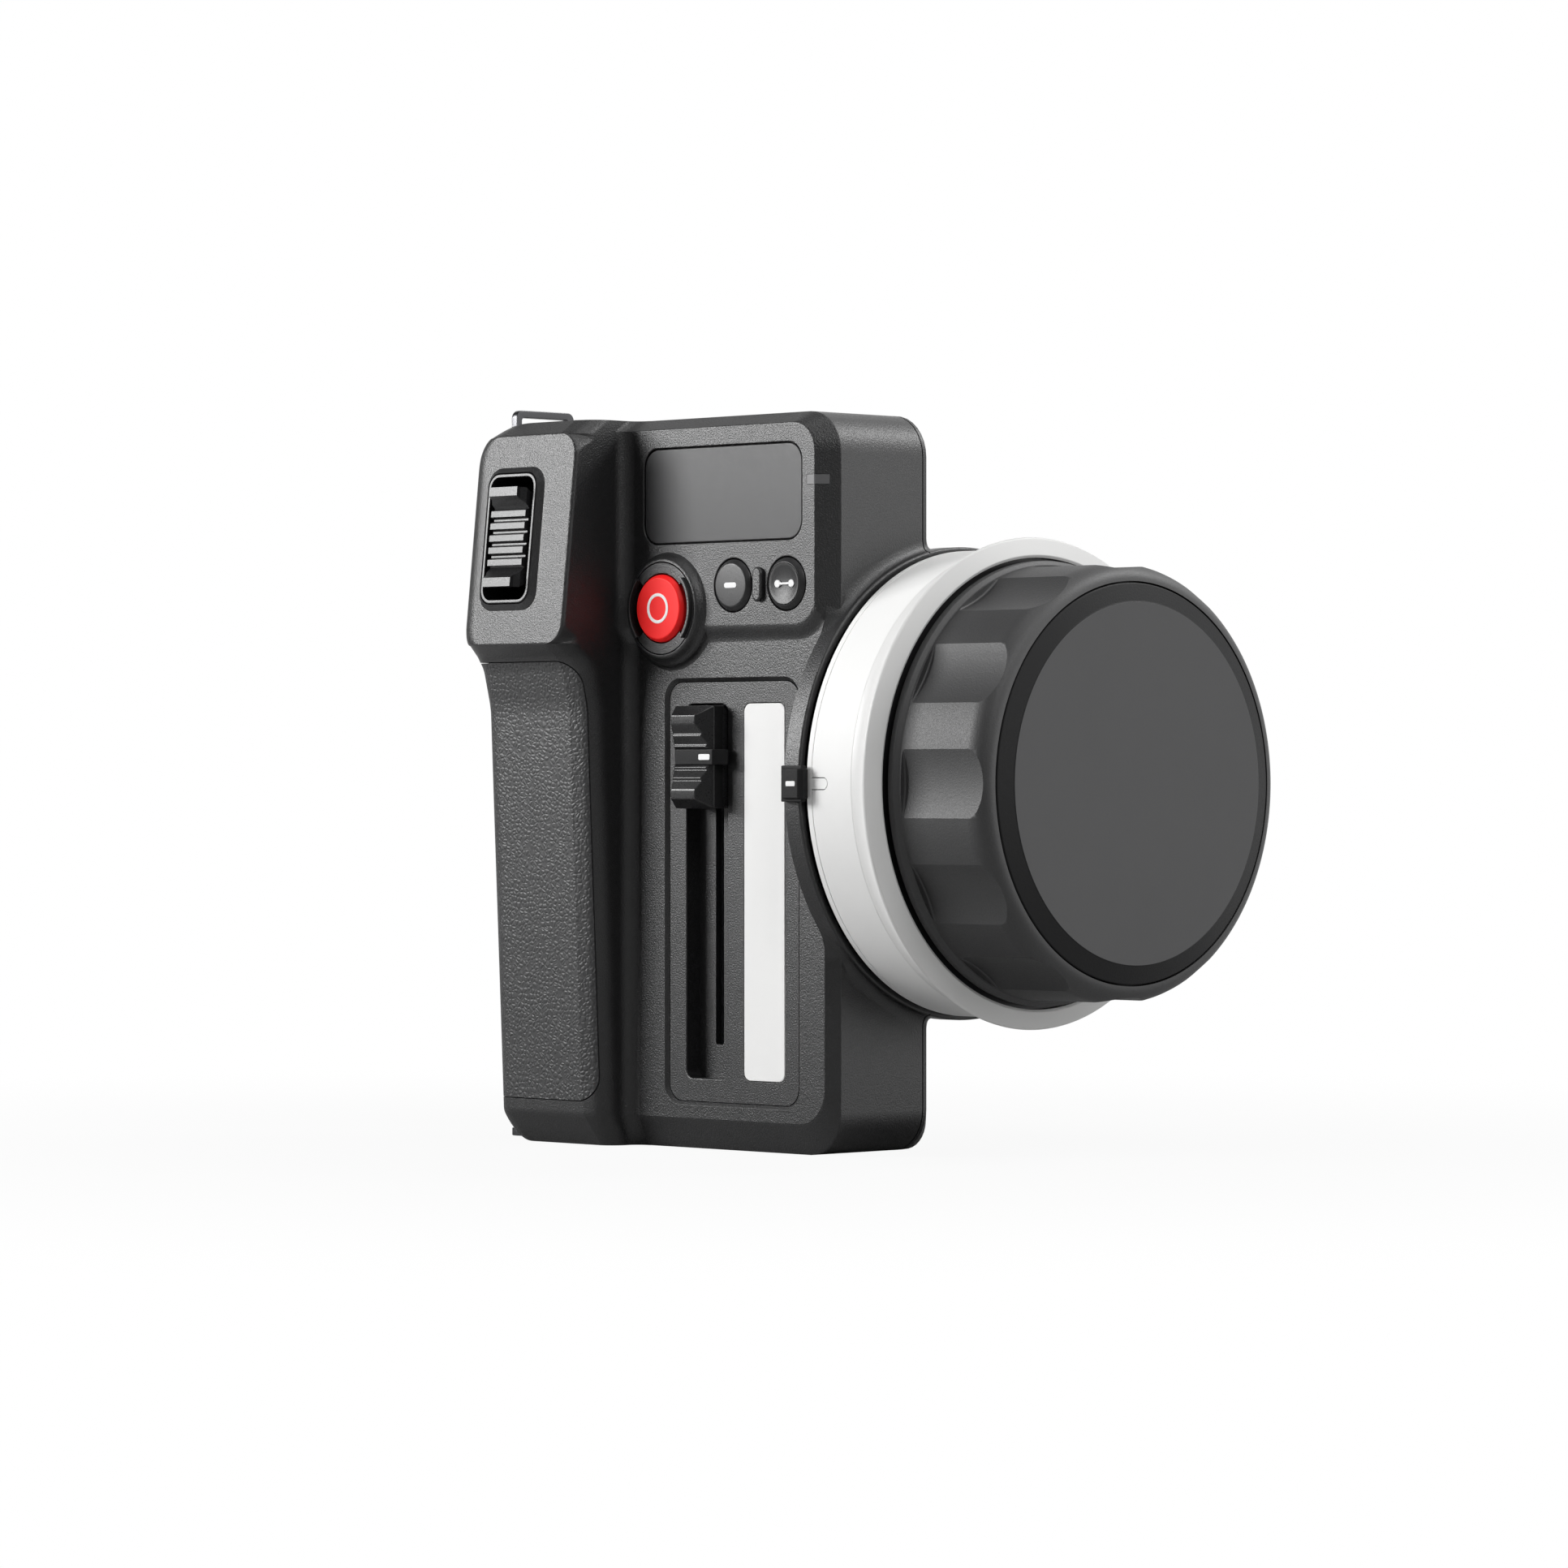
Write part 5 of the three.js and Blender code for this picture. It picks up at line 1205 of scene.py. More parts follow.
@dataclass(kw_only=True)
class RecordPlace:
    """Where the record key sits, and the boss that carries it."""

    x: float = -35.4
    z: float = 91.8
    collar_radius: float = 7.8
    profile: tuple[Point, ...] = (
        (0.0, -1.5), (8.1, -1.5), (8.36, -1.43), (8.54, -1.27), (8.72, -1.0), (8.92, -0.66), (9.15, -0.33),
        (9.45, -0.08), (9.72, 0.12), (9.9, 0.45), (10.02, 0.78), (10.2, 1.02), (10.5, 1.17), (11.0, 1.3),
        (11.0, 2.6), (0.0, 2.6),
    )

    @property
    def centre(self) -> Spot:
        """A point of the key's axis."""
        return (self.x, 0.0, self.z)

    def boss(self) -> Solid:
        """Makes the boss, coved into the panel."""
        return Bench.turned("record_boss", self.profile, self.centre, Axis.FRONT, 96)


@dataclass(kw_only=True)
class WheelPlace:
    """The wheel's axle and the fixed ring round its base."""

    y: float = 31.5
    z: float = 62.0
    ring_radius: float = 40.0
    ring_left: float = 1.4
    ring_right: float = 4.9
    cove: float = 2.6
    cove_rise: float = 1.35
    cove_start: float = 34.0
    cove_even: float = 62.0
    cove_wider: float = 0.35
    cove_higher: float = 1.15
    cove_root: float = 38.0
    opening: float = 22.0
    motor_hole: float = 20.0
    plate_radius: float = 38.6
    plate_left: float = 3.1

    @property
    def centre(self) -> Spot:
        """A point of the axle."""
        return (0.0, self.y, self.z)

    def ring(self, name: str) -> Solid:
        """Makes the whole fixed ring with rounded outer edges."""
        inner, outer, left, right = self.opening, self.ring_radius, self.ring_left, self.ring_right
        line = rounded([(inner, left), (outer, left), (outer, right), (inner, right)], {2: 0.45}, 4)
        return Bench.turned(name, line, self.centre, Axis.WHEEL, 180, closed=True)

    def coves(self, form: BodyForm, first: float, last: float) -> list[Solid]:
        """Makes the coves between the fixed ring and the body's side, one above the axle and one below.

        Args:
            form: The body's form.
            first: The angle from the front at which each starts, in degrees.
            last: The angle at which each ends.

        Returns:
            The two coves.
        """
        made = []
        for name, way in (("upper_cove", 1.0), ("lower_cove", -1.0)):
            sections = []
            steps = round((last - first) / 1.5)
            for k in range(steps + 1):
                turn = first + (last - first) * k / steps
                toward, across = math.cos(math.radians(turn)), math.sin(math.radians(turn)) * way
                # The cove widens towards the front, where it runs out over the bevel.
                wider = min(1.0, max(0.0, (self.cove_even - turn) / (self.cove_even - self.cove_start)))
                reach = self.ring_radius + self.cove * (1 + self.cove_wider * wider)
                rise = self.cove_rise + self.cove_higher * wider
                foot = form.side_at(self.y - self.ring_radius * toward)
                top = min(foot + rise, form.side + self.cove_rise)
                far = form.side_at(self.y - reach * toward) - 0.03
                corner, stop = Vector((self.ring_radius, foot)), Vector((self.ring_radius - 0.03, top))
                start = Vector((reach, far))
                curve = [
                    start * (1 - t) ** 2 + corner * (2 * t * (1 - t)) + stop * t * t for t in (j / 9 for j in range(10))
                ]
                line = [(self.cove_root, far - 1.5), (reach, far - 1.5), *curve, (self.cove_root, top)]
                sections.append([spot(x, self.y - r * toward, self.z + r * across) for r, x in line])
            cove = Bench.lofted(name, sections)
            made.append(Bench.slice(cove, spot(self.ring_left + 0.01, 0, 0), Vector((-1, 0, 0))))
        return made

    def pocket(self, name: str) -> Solid:
        """Makes the cutter for the base plate's pocket."""
        radius = self.plate_radius + 0.12
        return round_cutter(name, self.centre, radius, self.ring_right, self.plate_left, 0.15, Axis.WHEEL)

    def axle_opening(self, name: str) -> Solid:
        """Makes the cutter for the opening round the motor."""
        return Bench.rod(name, self.centre, self.motor_hole, -2.6, 7.0, 72, Axis.WHEEL)


@dataclass(kw_only=True)
class FrontShell(Piece):
    """Moulded front half of the body."""

    form: BodyForm
    face: BlockFace
    record: RecordPlace
    wheel: WheelPlace
    body: str = "housing"
    wall: float = 2.2
    pad_thickness: float = 1.2
    seam: float = 0.16
    pad_right: float = -47.4
    pad_bottom: float = 7.7
    pad_top: float = 82.8
    pad_back: float = 17.0
    pad_corner: float = 4.0
    window_rest: float = 1.6
    window: Box = (-41.3, -3.0, 102.7, 119.1)
    window_corner: float = 3.3
    key_x: tuple[float, float] = (-19.4, -6.65)
    key_z: float = 95.4
    key_hole: float = 4.55
    key_room: float = 5.55
    divider: Point = (1.1, 2.9)
    panel: Box = (-36.7, -5.4, 8.0, 79.3)
    panel_corner: float = 3.0
    light: tuple[float, float] = (111.8, 113.4)
    screws: tuple[Point, ...] = ((-66.2, 9.0), (-66.2, 115.2), (-3.85, 9.0), (-3.85, 115.2))

    def pad_zone(self, name: str, grow: float) -> Solid:
        """Makes the space that the grip pad fills, grown all round."""
        r, left, right, back = self.pad_corner, self.form.left, self.pad_right + grow, self.pad_back + grow
        low, high = self.pad_bottom - grow, self.pad_top + grow
        front = Bench.plate(name, rounded_box(left - 5, right, low, high, r), -18.0, back)
        side = Bench.bar("pad_side", rounded_box(-28.0, back, low, high, r), left - 3, right + 2, Axis.WHEEL)
        return Bench.combine(front, [side], "INTERSECT")

    def cavity(self) -> Solid:
        """Makes the room inside, leaving the screw bosses standing."""
        form, w = self.form, self.wall
        left, back = form.left + w, form.parting + 2
        outline = rounded_box(left, -0.45, w, form.height - w, form.corner_right - w)
        room = Bench.plate("cavity", outline, form.step_depth + w, back)
        grip = Bench.block("grip_room", (left + self.pad_thickness, -2.4, 9.9), (form.wall - w, back, 80.6))
        Bench.combine(room, [grip], "UNION")
        bosses = [
            Bench.rod("foot_boss", (-20.0, 13.0, 0), 7.7, 1.0, 9.7, 32, Axis.UP),
            *(Bench.rod(f"screw_boss_{i}", (x, 0, z), POST, 2.0, 26.0, 24) for i, (x, z) in enumerate(self.screws)),
        ]
        return Bench.combine(room, bosses, "DIFFERENCE")

    def outer(self) -> Solid:
        """Joins the flat part, the raised panel, the column and all that stands on them."""
        form = self.form
        shell = form.slab("front_shell_moulding", form.step_depth)
        raised = Bench.combine(form.slab("raised_panel", 0.0, 1.75), [form.raised_region("raised_region")], "INTERSECT")
        x, z = sum(self.key_x) / 2, self.key_z
        half, tall = self.divider
        bar = rounded_box(x - half, x + half, z - tall, z + tall, 1.09, 6)
        added = [
            raised,
            form.column("column"),
            self.face.frame(),
            self.record.boss(),
            Bench.plate("key_divider", bar, -0.9, 1.2, edge=0.45, steps=4),
            self.wheel.ring("ring_front"),
            *self.wheel.coves(form, self.wheel.cove_start, 82.0),
        ]
        Bench.combine(shell, added, "UNION")
        front_half = Bench.block("front_half", (-80.0, -20.0, 0.0), (10.0, form.parting, form.height))
        return Bench.combine(shell, [front_half], "INTERSECT")

    def cutters(self) -> list[Solid]:
        """Makes every cutter for the shell's pockets and holes."""
        form, w, r = self.form, self.wall, self.window_corner
        left, right, low, high = self.window
        bottom, top = self.light
        keys = [(x, 0, self.key_z) for x in self.key_x]
        pad = self.pad_zone("pad_zone", self.seam)
        Bench.combine(pad, [form.column("column_inside", self.pad_thickness + 0.12)], "DIFFERENCE")
        rest = self.window_rest
        opening = rounded_box(left + rest, right - rest, low + rest, high - rest, r / 2)
        return [
            self.cavity(),
            pad,
            self.face.lean_on(Bench.plate("tub_well", self.face.outline(0.14), -3.0, 9.3)),
            self.face.lean_on(Bench.block("sensor_well", (-4.8, 7.0, -4.8), (4.8, 16.2, 4.8))),
            self.mouthed("window_well", rounded_box(left, right, low, high, r), 0.0, 1.42, 0.18),
            Bench.plate("window_opening", opening, -1.0, form.parting),
            *(round_cutter(f"key_hole_{i}", key, self.key_hole, 0.0, 4.5, 0.22) for i, key in enumerate(keys)),
            *(Bench.rod(f"key_room_{i}", key, self.key_room, w, 24, 48) for i, key in enumerate(keys)),
            round_cutter("record_hole", self.record.centre, self.record.collar_radius + 0.12, -1.5, 24.0, 0.08),
            self.panel_mouth(),
            Bench.plate("panel_hole", rounded_box(*self.panel, self.panel_corner), 0.0, form.parting),
            Bench.block("light_slot", (-1.86, -2.0, bottom - 0.06), (6.0, 1.86, top + 0.06)),
            Bench.block("light_stem_slot", (-1.85, 1.0, bottom - 0.05), (-0.44, 4.72, top + 0.05)),
            self.wheel.pocket("base_pocket_front"),
            self.wheel.axle_opening("axle_opening_front"),
            Bench.block("top_lug_slot", (-68.12, -6.42, 121.08), (-66.48, 7.32, 127.0)),
            Bench.block("bottom_lug_slot", (-75.5, -1.42, 0.48), (-68.08, 11.62, 2.12)),
            *(Bench.rod(f"screw_hole_{x}_{z}", (x, 0, z), SHANK_HOLE, 11.5, 26, 16) for x, z in self.screws),
            round_cutter("tripod_hole", (-20.0, 13.0, 0.0), 5.62, 0.0, 7.8, 0.2, Axis.UP),
            form.groove("front_groove"),
        ]

    def mouthed(self, name: str, outline: Sequence[Point], face: float, back: float, flare: float) -> Solid:
        """Makes a cutter for a pocket with a rounded rim.

        Args:
            name: The object's name.
            outline: The pocket's outline.
            face: Where the surface lies.
            back: The pocket's floor.
            flare: The rim's rounding.

        Returns:
            The cutter.
        """
        xs, zs = zip(*outline)
        cx, cz = (min(xs) + max(xs)) / 2, (min(zs) + max(zs)) / 2
        w, h = max(xs) - min(xs), max(zs) - min(zs)
        turns = [math.radians(turn) for turn in (0, 30, 60, 90)]
        rim = [(face + flare * (1 - math.sin(t)), flare * (1 - math.cos(t))) for t in turns]
        return Bench.stacked(
            name,
            [
                (y, [(cx + (x - cx) * (w + 2 * g) / w, cz + (z - cz) * (h + 2 * g) / h) for x, z in outline])
                for y, g in ((back, 0.0), *rim, (face - 2.0, flare))
            ],
        )

    def panel_mouth(self) -> Solid:
        """Makes the cutter for the recess round the slider panel, with slanted walls."""
        face, r = self.form.step_depth, self.panel_corner
        left, right, low, high = self.panel
        steps = ((face + 0.6, 0.0), (face + 0.1, 0.5), (face, 0.66), (face - 0.02, 0.9), (face - 1.0, 0.9))
        sections = [(y, rounded_box(left - g, right + g, low - g, high + g, r + g)) for y, g in steps]
        return Bench.stacked("panel_mouth", sections)

    def build(self) -> None:
        """Makes the shell."""
        shell = Bench.combine(self.outer(), self.cutters(), "DIFFERENCE")
        self.settle(shell, BODY_NYLON, "moulded_black", "front_shell")


@dataclass(kw_only=True)
class GripPad(Piece):
    """Rubber pad let into the grip."""

    shell: FrontShell
    body: str = "housing"

    def build(self) -> None:
        """Makes the pad."""
        form = self.shell.form
        pad = Bench.combine(form.column("grip_pad_skin"), [self.shell.pad_zone("pad_limit", 0.0)], "INTERSECT")
        Bench.combine(pad, [form.column("pad_inside", self.shell.pad_thickness)], "DIFFERENCE")
        self.settle(pad, GRIP_RUBBER, "grip_rubber", "grip_pad")


@dataclass(kw_only=True)
class RearCover(Piece):
    """Moulded back half with the drum behind the wheel."""

    form: BodyForm
    wheel: WheelPlace
    screws: tuple[Point, ...]
    body: str = "housing"
    bevel: float = 3.3
    wall: float = 2.0
    back_corner: float = 5.0
    drum_left: float = -26.0
    drum_radius: float = 38.2
    drum_bevel: float = 7.0

    @property
    def back(self) -> float:
        """The back plane."""
        return self.form.parting + self.form.back_lip + self.bevel

    def shell(self) -> Solid:
        """Makes the cover's outer form."""
        form, lip = self.form, self.form.parting + self.form.back_lip
        corners = [(0.0, form.parting - 1), (0.0, lip), (self.bevel, self.back), (20.0, self.back)]
        radii = (form.corner_bottom_left, form.corner_right, form.corner_right, form.corner_top_left)
        sections = []
        for drawn, y in rounded(corners, {1: 0.5, 2: 0.9}, 5)[:-1]:
            share = drawn / self.bevel
            drawn_radii = [r + (self.back_corner - r) * share for r in radii]
            box = (form.left + drawn, form.side - drawn, 0.0, form.height - drawn)
            sections.append((y, rounded_box(*box, drawn_radii)))
        return Bench.stacked("rear_cover_moulding", sections)

    def drum(self) -> Solid:
        """Makes the drum that holds the motor."""
        left, radius, bevel = self.drum_left, self.drum_radius, self.drum_bevel
        corners = [
            (0.0, left), (radius - bevel, left), (radius - bevel * 0.3, left + bevel * 0.3), (radius, left + bevel),
            (radius, 1.4), (0.0, 1.4),
        ]
        profile = rounded(corners, {1: 6.0, 2: 3.0, 3: 5.0}, 6)
        return Bench.turned("motor_drum", profile, self.wheel.centre, Axis.WHEEL, 144)

    def rooms(self) -> list[Solid]:
        """Makes the cutters for the hollow inside."""
        form, w = self.form, self.wall
        sections = [
            (self.back - w, rounded_box(form.left + 5.3, form.side - 5.3, w, form.height - 5.3, 3.0)),
            (
                form.parting - 2,
                rounded_box(form.left + w, form.side - w - 1.4, w, form.height - w, form.corner_right - w),
            ),
        ]
        room = Bench.stacked("cover_room", sections)
        left, radius, bevel = self.drum_left, self.drum_radius, self.drum_bevel
        profile = [
            (0.0, left + w),
            (radius - bevel - w * 0.4, left + w),
            (radius - bevel * 0.3 - w, left + bevel * 0.3 + w * 0.6),
            (radius - w, left + bevel + w * 0.4),
            (radius - w, -0.6),
            (0.0, -0.6),
        ]
        return [room, Bench.turned("drum_room", profile, self.wheel.centre, Axis.WHEEL, 96)]

    def build(self) -> None:
        """Makes the cover."""
        form, wheel = self.form, self.wheel
        round_part = Bench.combine(self.drum(), [wheel.ring("ring_back"), *wheel.coves(form, 70.0, 90.0)], "UNION")
        Bench.slice(round_part, spot(0, form.parting - 0.5, 0), Vector((0, -1, 0)))
        cover = Bench.combine(self.shell(), [round_part], "UNION")
        back_half = Bench.block("back_half", (-80.0, form.parting, -3.0), (10.0, 80.0, form.height + 3))
        Bench.combine(cover, [back_half], "INTERSECT")
        Bench.combine(cover, self.rooms(), "DIFFERENCE")
        posts = [Bench.rod(f"post_{i}", (x, 0, z), POST, 22.7, 25.2, 32) for i, (x, z) in enumerate(self.screws)]
        Bench.combine(cover, posts, "UNION")
        cuts = []
        for i, (x, z) in enumerate(self.screws):
            cuts.append(Bench.rod(f"shank_{i}", (x, 0, z), SHANK_HOLE, 20, 29, 16))
            cuts.append(round_cutter(f"head_{i}", (x, 0, z), HEAD_HOLE, self.back, 24.77, 0.25))
        cuts += [
            wheel.pocket("base_pocket_back"),
            wheel.axle_opening("axle_opening_back"),
            Bench.plate("flap_well", rounded_box(-66.12, -49.88, 14.38, 23.62, 2.1), 25.58, 29.0),
            Bench.plate("port_hole", rounded_box(-62.62, -53.38, 17.18, 20.82, 1.6), form.parting, 26.8),
            form.groove("back_groove"),
        ]
        Bench.combine(cover, cuts, "DIFFERENCE")
        self.settle(cover, BODY_NYLON, "moulded_black", "rear_cover")
        cap = Bench.plate("port_flap", rounded_box(-66.0, -50.0, 14.5, 23.5, 2.0), 25.7, 26.8)
        Bench.soften(cap, 0.3, 3)
        self.settle(cap, GRIP_RUBBER, "grip_rubber", "port_cover")


@dataclass(kw_only=True)
class Display(Piece):
    """Glossy window and the status light."""

    shell: FrontShell
    body: str = "housing"
    gap: float = 0.2
    inset: float = 0.22
    thickness: float = 1.1

    def build(self) -> None:
        """Makes the window and the light."""
        left, right, low, high = self.shell.window
        g = self.gap
        box = rounded_box(left + g, right - g, low + g, high - g, self.shell.window_corner - g)
        pane = Bench.plate("window_pane", box, self.inset, self.inset + self.thickness, edge=0.18)
        self.settle(pane, WINDOW_ACRYLIC, "display_gloss", "display_window")
        light = self.shell.form.slab("status_light", 0.0)
        low, high = self.shell.light
        limit = Bench.block("light_limit", (-1.8, -2.0, low), (6.0, 1.8, high))
        stem = Bench.block("light_stem", (-1.79, 1.0, low + 0.01), (-0.5, 4.6, high - 0.01))
        Bench.combine(limit, [stem], "UNION")
        Bench.combine(light, [limit], "INTERSECT")
        self.settle(light, SMOKED_PC, "frosted_plastic", "light_pipe")


@dataclass(kw_only=True)
class RecordKey(Piece):
    """Red record key, its printed ring and the collar round it."""

    place: RecordPlace
    body: str = "rec_button"
    radius: float = 5.2
    face: float = -2.3
    skirt: float = 5.75
    bore: float = 5.95
    arc_face: float = -1.5
    crescent_bore: float = 7.02
    crescent_radius: float = 7.65
    crescent_angle: float = 42.0

    def build(self) -> None:
        """Makes the key, its mark and its collar."""
        face, skirt = self.face, self.skirt
        corners = [
            (0.0, face), (self.radius, face), (skirt, face + 0.75), (skirt, 4.0), (5.3, 4.0), (5.3, 4.7), (6.0, 4.7),
            (6.0, 5.5), (1.5, 5.5), (1.5, 7.4), (0.0, 7.4),
        ]
        key = Bench.turned("record_key", rounded(corners, {1: 0.3, 2: 0.5}, 5), self.place.centre, Axis.FRONT, 96)
        self.settle(key, RED_ABS, "red_plastic", "rec_button")
        ring = rounded([(2.03, -2.1), (2.03, -2.38), (2.57, -2.38), (2.57, -2.1)], {1: 0.04, 2: 0.04}, 2)
        mark = Bench.turned("record_ring_print", ring, self.place.centre, Axis.FRONT, 72, closed=True)
        self.settle(mark, WHITE_INK, "white_plastic", "rec_mark")
        self.collar()

    def wedges(self, name: str, half: float) -> Solid:
        """Makes two wedges that hold the collar's sides.

        Args:
            name: The object's name.
            half: Half of each wedge's angle, in degrees.

        Returns:
            The wedges as one object.
        """
        reach = 20.0
        dx, dz = reach * math.cos(math.radians(half)), reach * math.sin(math.radians(half))
        made = []
        for way in (1, -1):
            x, z = self.place.x + way * 0.04, self.place.z
            outline = [(x, z), (x + way * dx, z - way * dz), (x + way * dx, z + way * dz)]
            made.append(Bench.plate(f"{name}_{way}", outline, -5.0, 8.0))
        return Bench.combine(made[0], made[1:], "UNION")

    def band(self, name: str, inner: float, outer: float, face: float, back: float) -> Solid:
        """Makes a ring round the key with softened front edges.

        Args:
            name: The object's name.
            inner: Its inner radius.
            outer: Its outer radius.
            face: Where its front lies along Y.
            back: Where its back lies along Y.

        Returns:
            The ring.
        """
        line = rounded([(inner, face), (outer, face), (outer, back), (inner, back)], {0: 0.12, 1: 0.12}, 3)
        return Bench.turned(name, line, self.place.centre, Axis.FRONT, 120, closed=True)

    def collar(self) -> None:
        """Makes the collar: low broad arcs above and below the key, and a raised crescent at each side."""
        base = self.band("record_collar", self.bore, self.place.collar_radius, self.arc_face, 4.4)
        well = Bench.rod("collar_well", self.place.centre, self.crescent_bore, -5, 2.2, 120)
        Bench.combine(well, [self.wedges("sides", self.crescent_angle)], "INTERSECT")
        Bench.combine(base, [well], "DIFFERENCE")
        crescents = self.band("crescents", self.crescent_bore + 0.03, self.crescent_radius, self.face, 4.2)
        Bench.combine(crescents, [self.wedges("ends", self.crescent_angle + 0.4)], "INTERSECT")
        Bench.combine(base, [crescents], "UNION")
        self.settle(base, BODY_NYLON, "moulded_black", "rec_collar", body="housing")


@dataclass(kw_only=True)
class RoundKey(Piece):
    """One of the two round keys with its printed mark."""

    name: str = "m"
    x: float = -19.4
    z: float = 95.4
    radius: float = 4.4
    proud: float = 0.65
    dish: float = 0.0
    body: str = "m_button"
    bar: Point = (1.46, 0.45)
    dot: float = 0.62
    dot_way: float = 1.64

    def build(self) -> None:
        """Makes the key and its mark."""
        top = -self.proud
        if self.dish:
            face = [(0.0, top + self.dish)]
            face += [(3.3 * k / 8, top + self.dish * (1 - (k / 8) ** 2)) for k in range(1, 9)]
            face += [(3.55, top)]
        else:
            face = [(0.0, top)]
        line = rounded([face[-1], (self.radius - 0.75, top), (self.radius, top + 0.75), (self.radius, 2.5)],
                       {1: 0.5, 2: 0.4}, 4)
        profile = [*face, *line[1:], (5.1, 2.5), (5.1, 3.3), (1.5, 3.3), (1.5, 5.4), (0.0, 5.4)]
        centre = (self.x, 0.0, self.z)
        key = Bench.turned(f"{self.name}_key", profile, centre, Axis.FRONT, 96)
        self.settle(key, KEY_ABS, "key_plastic", f"{self.name}_button")
        self.mark()

    def mark(self) -> None:
        """Makes the printed bar, or two dots joined by a line on the dished key."""
        x, z = self.x, self.z
        if not self.dish:
            long, tall = self.bar
            self.printed("bar_print", "m_mark", (x - long, x + long, z - tall, z + tall), 0.43, -0.73, -0.45, 5)
            return
        front, back = -0.57, 0.2
        left, right = x - self.dot_way, x + self.dot_way
        dots = [Bench.rod(f"dot_{u:.0f}", (u, 0, z), self.dot, front, back, 32) for u in (left, right)]
        bar = rounded_box(left, right, z - 0.18, z + 0.18, 0.1, 3)
        line = Bench.plate("joined_dots_print", bar, front + 0.01, back - 0.01)
        Bench.combine(line, dots, "UNION")
        self.settle(line, WHITE_INK, "white_plastic", "ab_mark")


@dataclass(kw_only=True)
class SliderBay(Piece):
    """Panel with the slot, the strip to write on and the sliding thumb piece."""

    shell: FrontShell
    body: str = "slider"
    slot: Box = (-32.6, -22.6, 12.0, 75.5)
    strip: Box = (-18.5, -8.8, 12.0, 75.5)
    face: float = 1.8
    floor: float = 4.9
    thumb_low: float = 57.8
    thumb_high: float = 75.2
    crest: float = -3.9
    valley: float = -1.65
    arm_half: float = 1.3

    @property
    def x(self) -> float:
        """The slot's middle."""
        return (self.slot[0] + self.slot[1]) / 2

    def panel(self) -> None:
        """Makes the panel with its trough, slot and slit."""
        shell, face = self.shell, self.face
        left, right, low, high = shell.panel
        g = 0.12
        plate = Bench.plate(
            "slider_plate", rounded_box(left + g, right - g, low + g, high - g, 3.0), face, face + 1.6
        )
        l, r, b, t = self.slot
        rim = rounded_box(l - 1.3, r + 1.3, b - 1.3, t + 1.3, 2.8)
        trough = Bench.plate("trough", rim, face + 0.8, self.floor + 1.3)
        slot = shell.mouthed("slot_cut", rounded_box(l, r, b, t, 1.5), face, self.floor, 0.22)
        slit = Bench.plate("slit", rounded_box(self.x - 1.0, self.x + 1.0, b + 5.7, t - 5.7, 0.4, 3), 0.0, 12.0)
        l, r, b, t = self.strip
        pocket = rounded_box(l - g, r + g, b - g, t + g, 1.5)
        Bench.combine(plate, [trough], "UNION")
        Bench.combine(plate, [slot, slit, shell.mouthed("strip_pocket", pocket, face, 2.6, 0.08)], "DIFFERENCE")
        self.settle(plate, BODY_NYLON, "moulded_black", "slider_panel", body="housing")
        strip = Bench.plate("writing_strip", rounded_box(l, r, b, t, 1.4), 1.7, 2.54, edge=0.15)
        self.settle(strip, WHITE_ABS, "white_plastic", "marking_strip", body="housing")

    def thumb_line(self) -> list[Point]:
        """Draws the thumb piece's front as (y, z): two ridges with steps down to the valley between them."""
        half = (self.thumb_high - self.thumb_low) / 2
        middle = (self.thumb_high + self.thumb_low) / 2
        tip = half - 1.6
        crest, valley = self.crest, self.valley
        drop = valley - crest
        inner = tip - 1.6
        stairs = ((0.5, 0.7), (0.35, 0.85), (0.85, 1.5), (0.7, 1.65))
        upper = [
            (-1.1, half),
            (crest, tip),
            (crest, inner),
            *((crest + drop * deep, inner - drop * down) for deep, down in stairs),
            (valley, inner - drop * 1.9),
        ]
        lower = [(y, -z) for y, z in reversed(upper)]
        return [(y, z + middle) for y, z in [(1.4, half), *upper, *lower, (1.4, -half)]]

    def thumb(self) -> None:
        """Makes the thumb piece with its pointer arm and printed mark."""
        x, low, high = self.x, self.thumb_low, self.thumb_high
        middle = (low + high) / 2
        half = (self.slot[1] - self.slot[0]) / 2 - 0.35
        block = Bench.bar("slider_thumb_piece", self.thumb_line(), x - half, x + half, Axis.WHEEL)
        sides = [
            (x - half, 5.0), (x - half, -1.1), (x - 2.85, -4.02), (x + 2.85, -4.02), (x + half, -1.1), (x + half, 5.0),
        ]
        limit = Bench.bar("thumb_limit", sides, low - 0.01, high + 0.01, Axis.UP)
        Bench.combine(block, [limit], "INTERSECT")
        Bench.soften(block, 0.22, 3, 25)
        neck = Bench.plate("thumb_neck", rounded_box(x - half, x + half, low, high, 1.5), 1.0, 4.6)
        stem = Bench.block("thumb_stem", (x - 0.8, 2.9, middle - 2.6), (x + 0.8, 9.6, middle + 2.6))
        right = self.slot[1] + 1.3
        arm_line = [(x - 3.8, -2.0), (right - 1.1, -2.0), (right, 0.2), (right, 0.9), (x - 3.8, 0.9)]
        arm = Bench.bar("pointer_arm", arm_line, middle - self.arm_half, middle + self.arm_half, Axis.UP)
        Bench.soften(arm, 0.15, 2, 40)
        Bench.combine(block, [neck, stem, arm], "UNION")
        self.settle(block, RIB_ABS, "moulded_black", "slider_thumb")
        # The pointer arm is matte, so that its mark reads well.
        self.refinish(
            block, POINTER_ABS, lambda at: abs(at.z - middle) < 1.32 and at.x > x - 3.85 and -2.3 < at.y < 0.95
        )
        end = right - 1.1 - 0.6
        box = (end - 2.7, end, middle - 0.5, middle + 0.5)
        self.printed("pointer_print", "slider_mark", box, 0.25, -2.08, -1.7, 4)

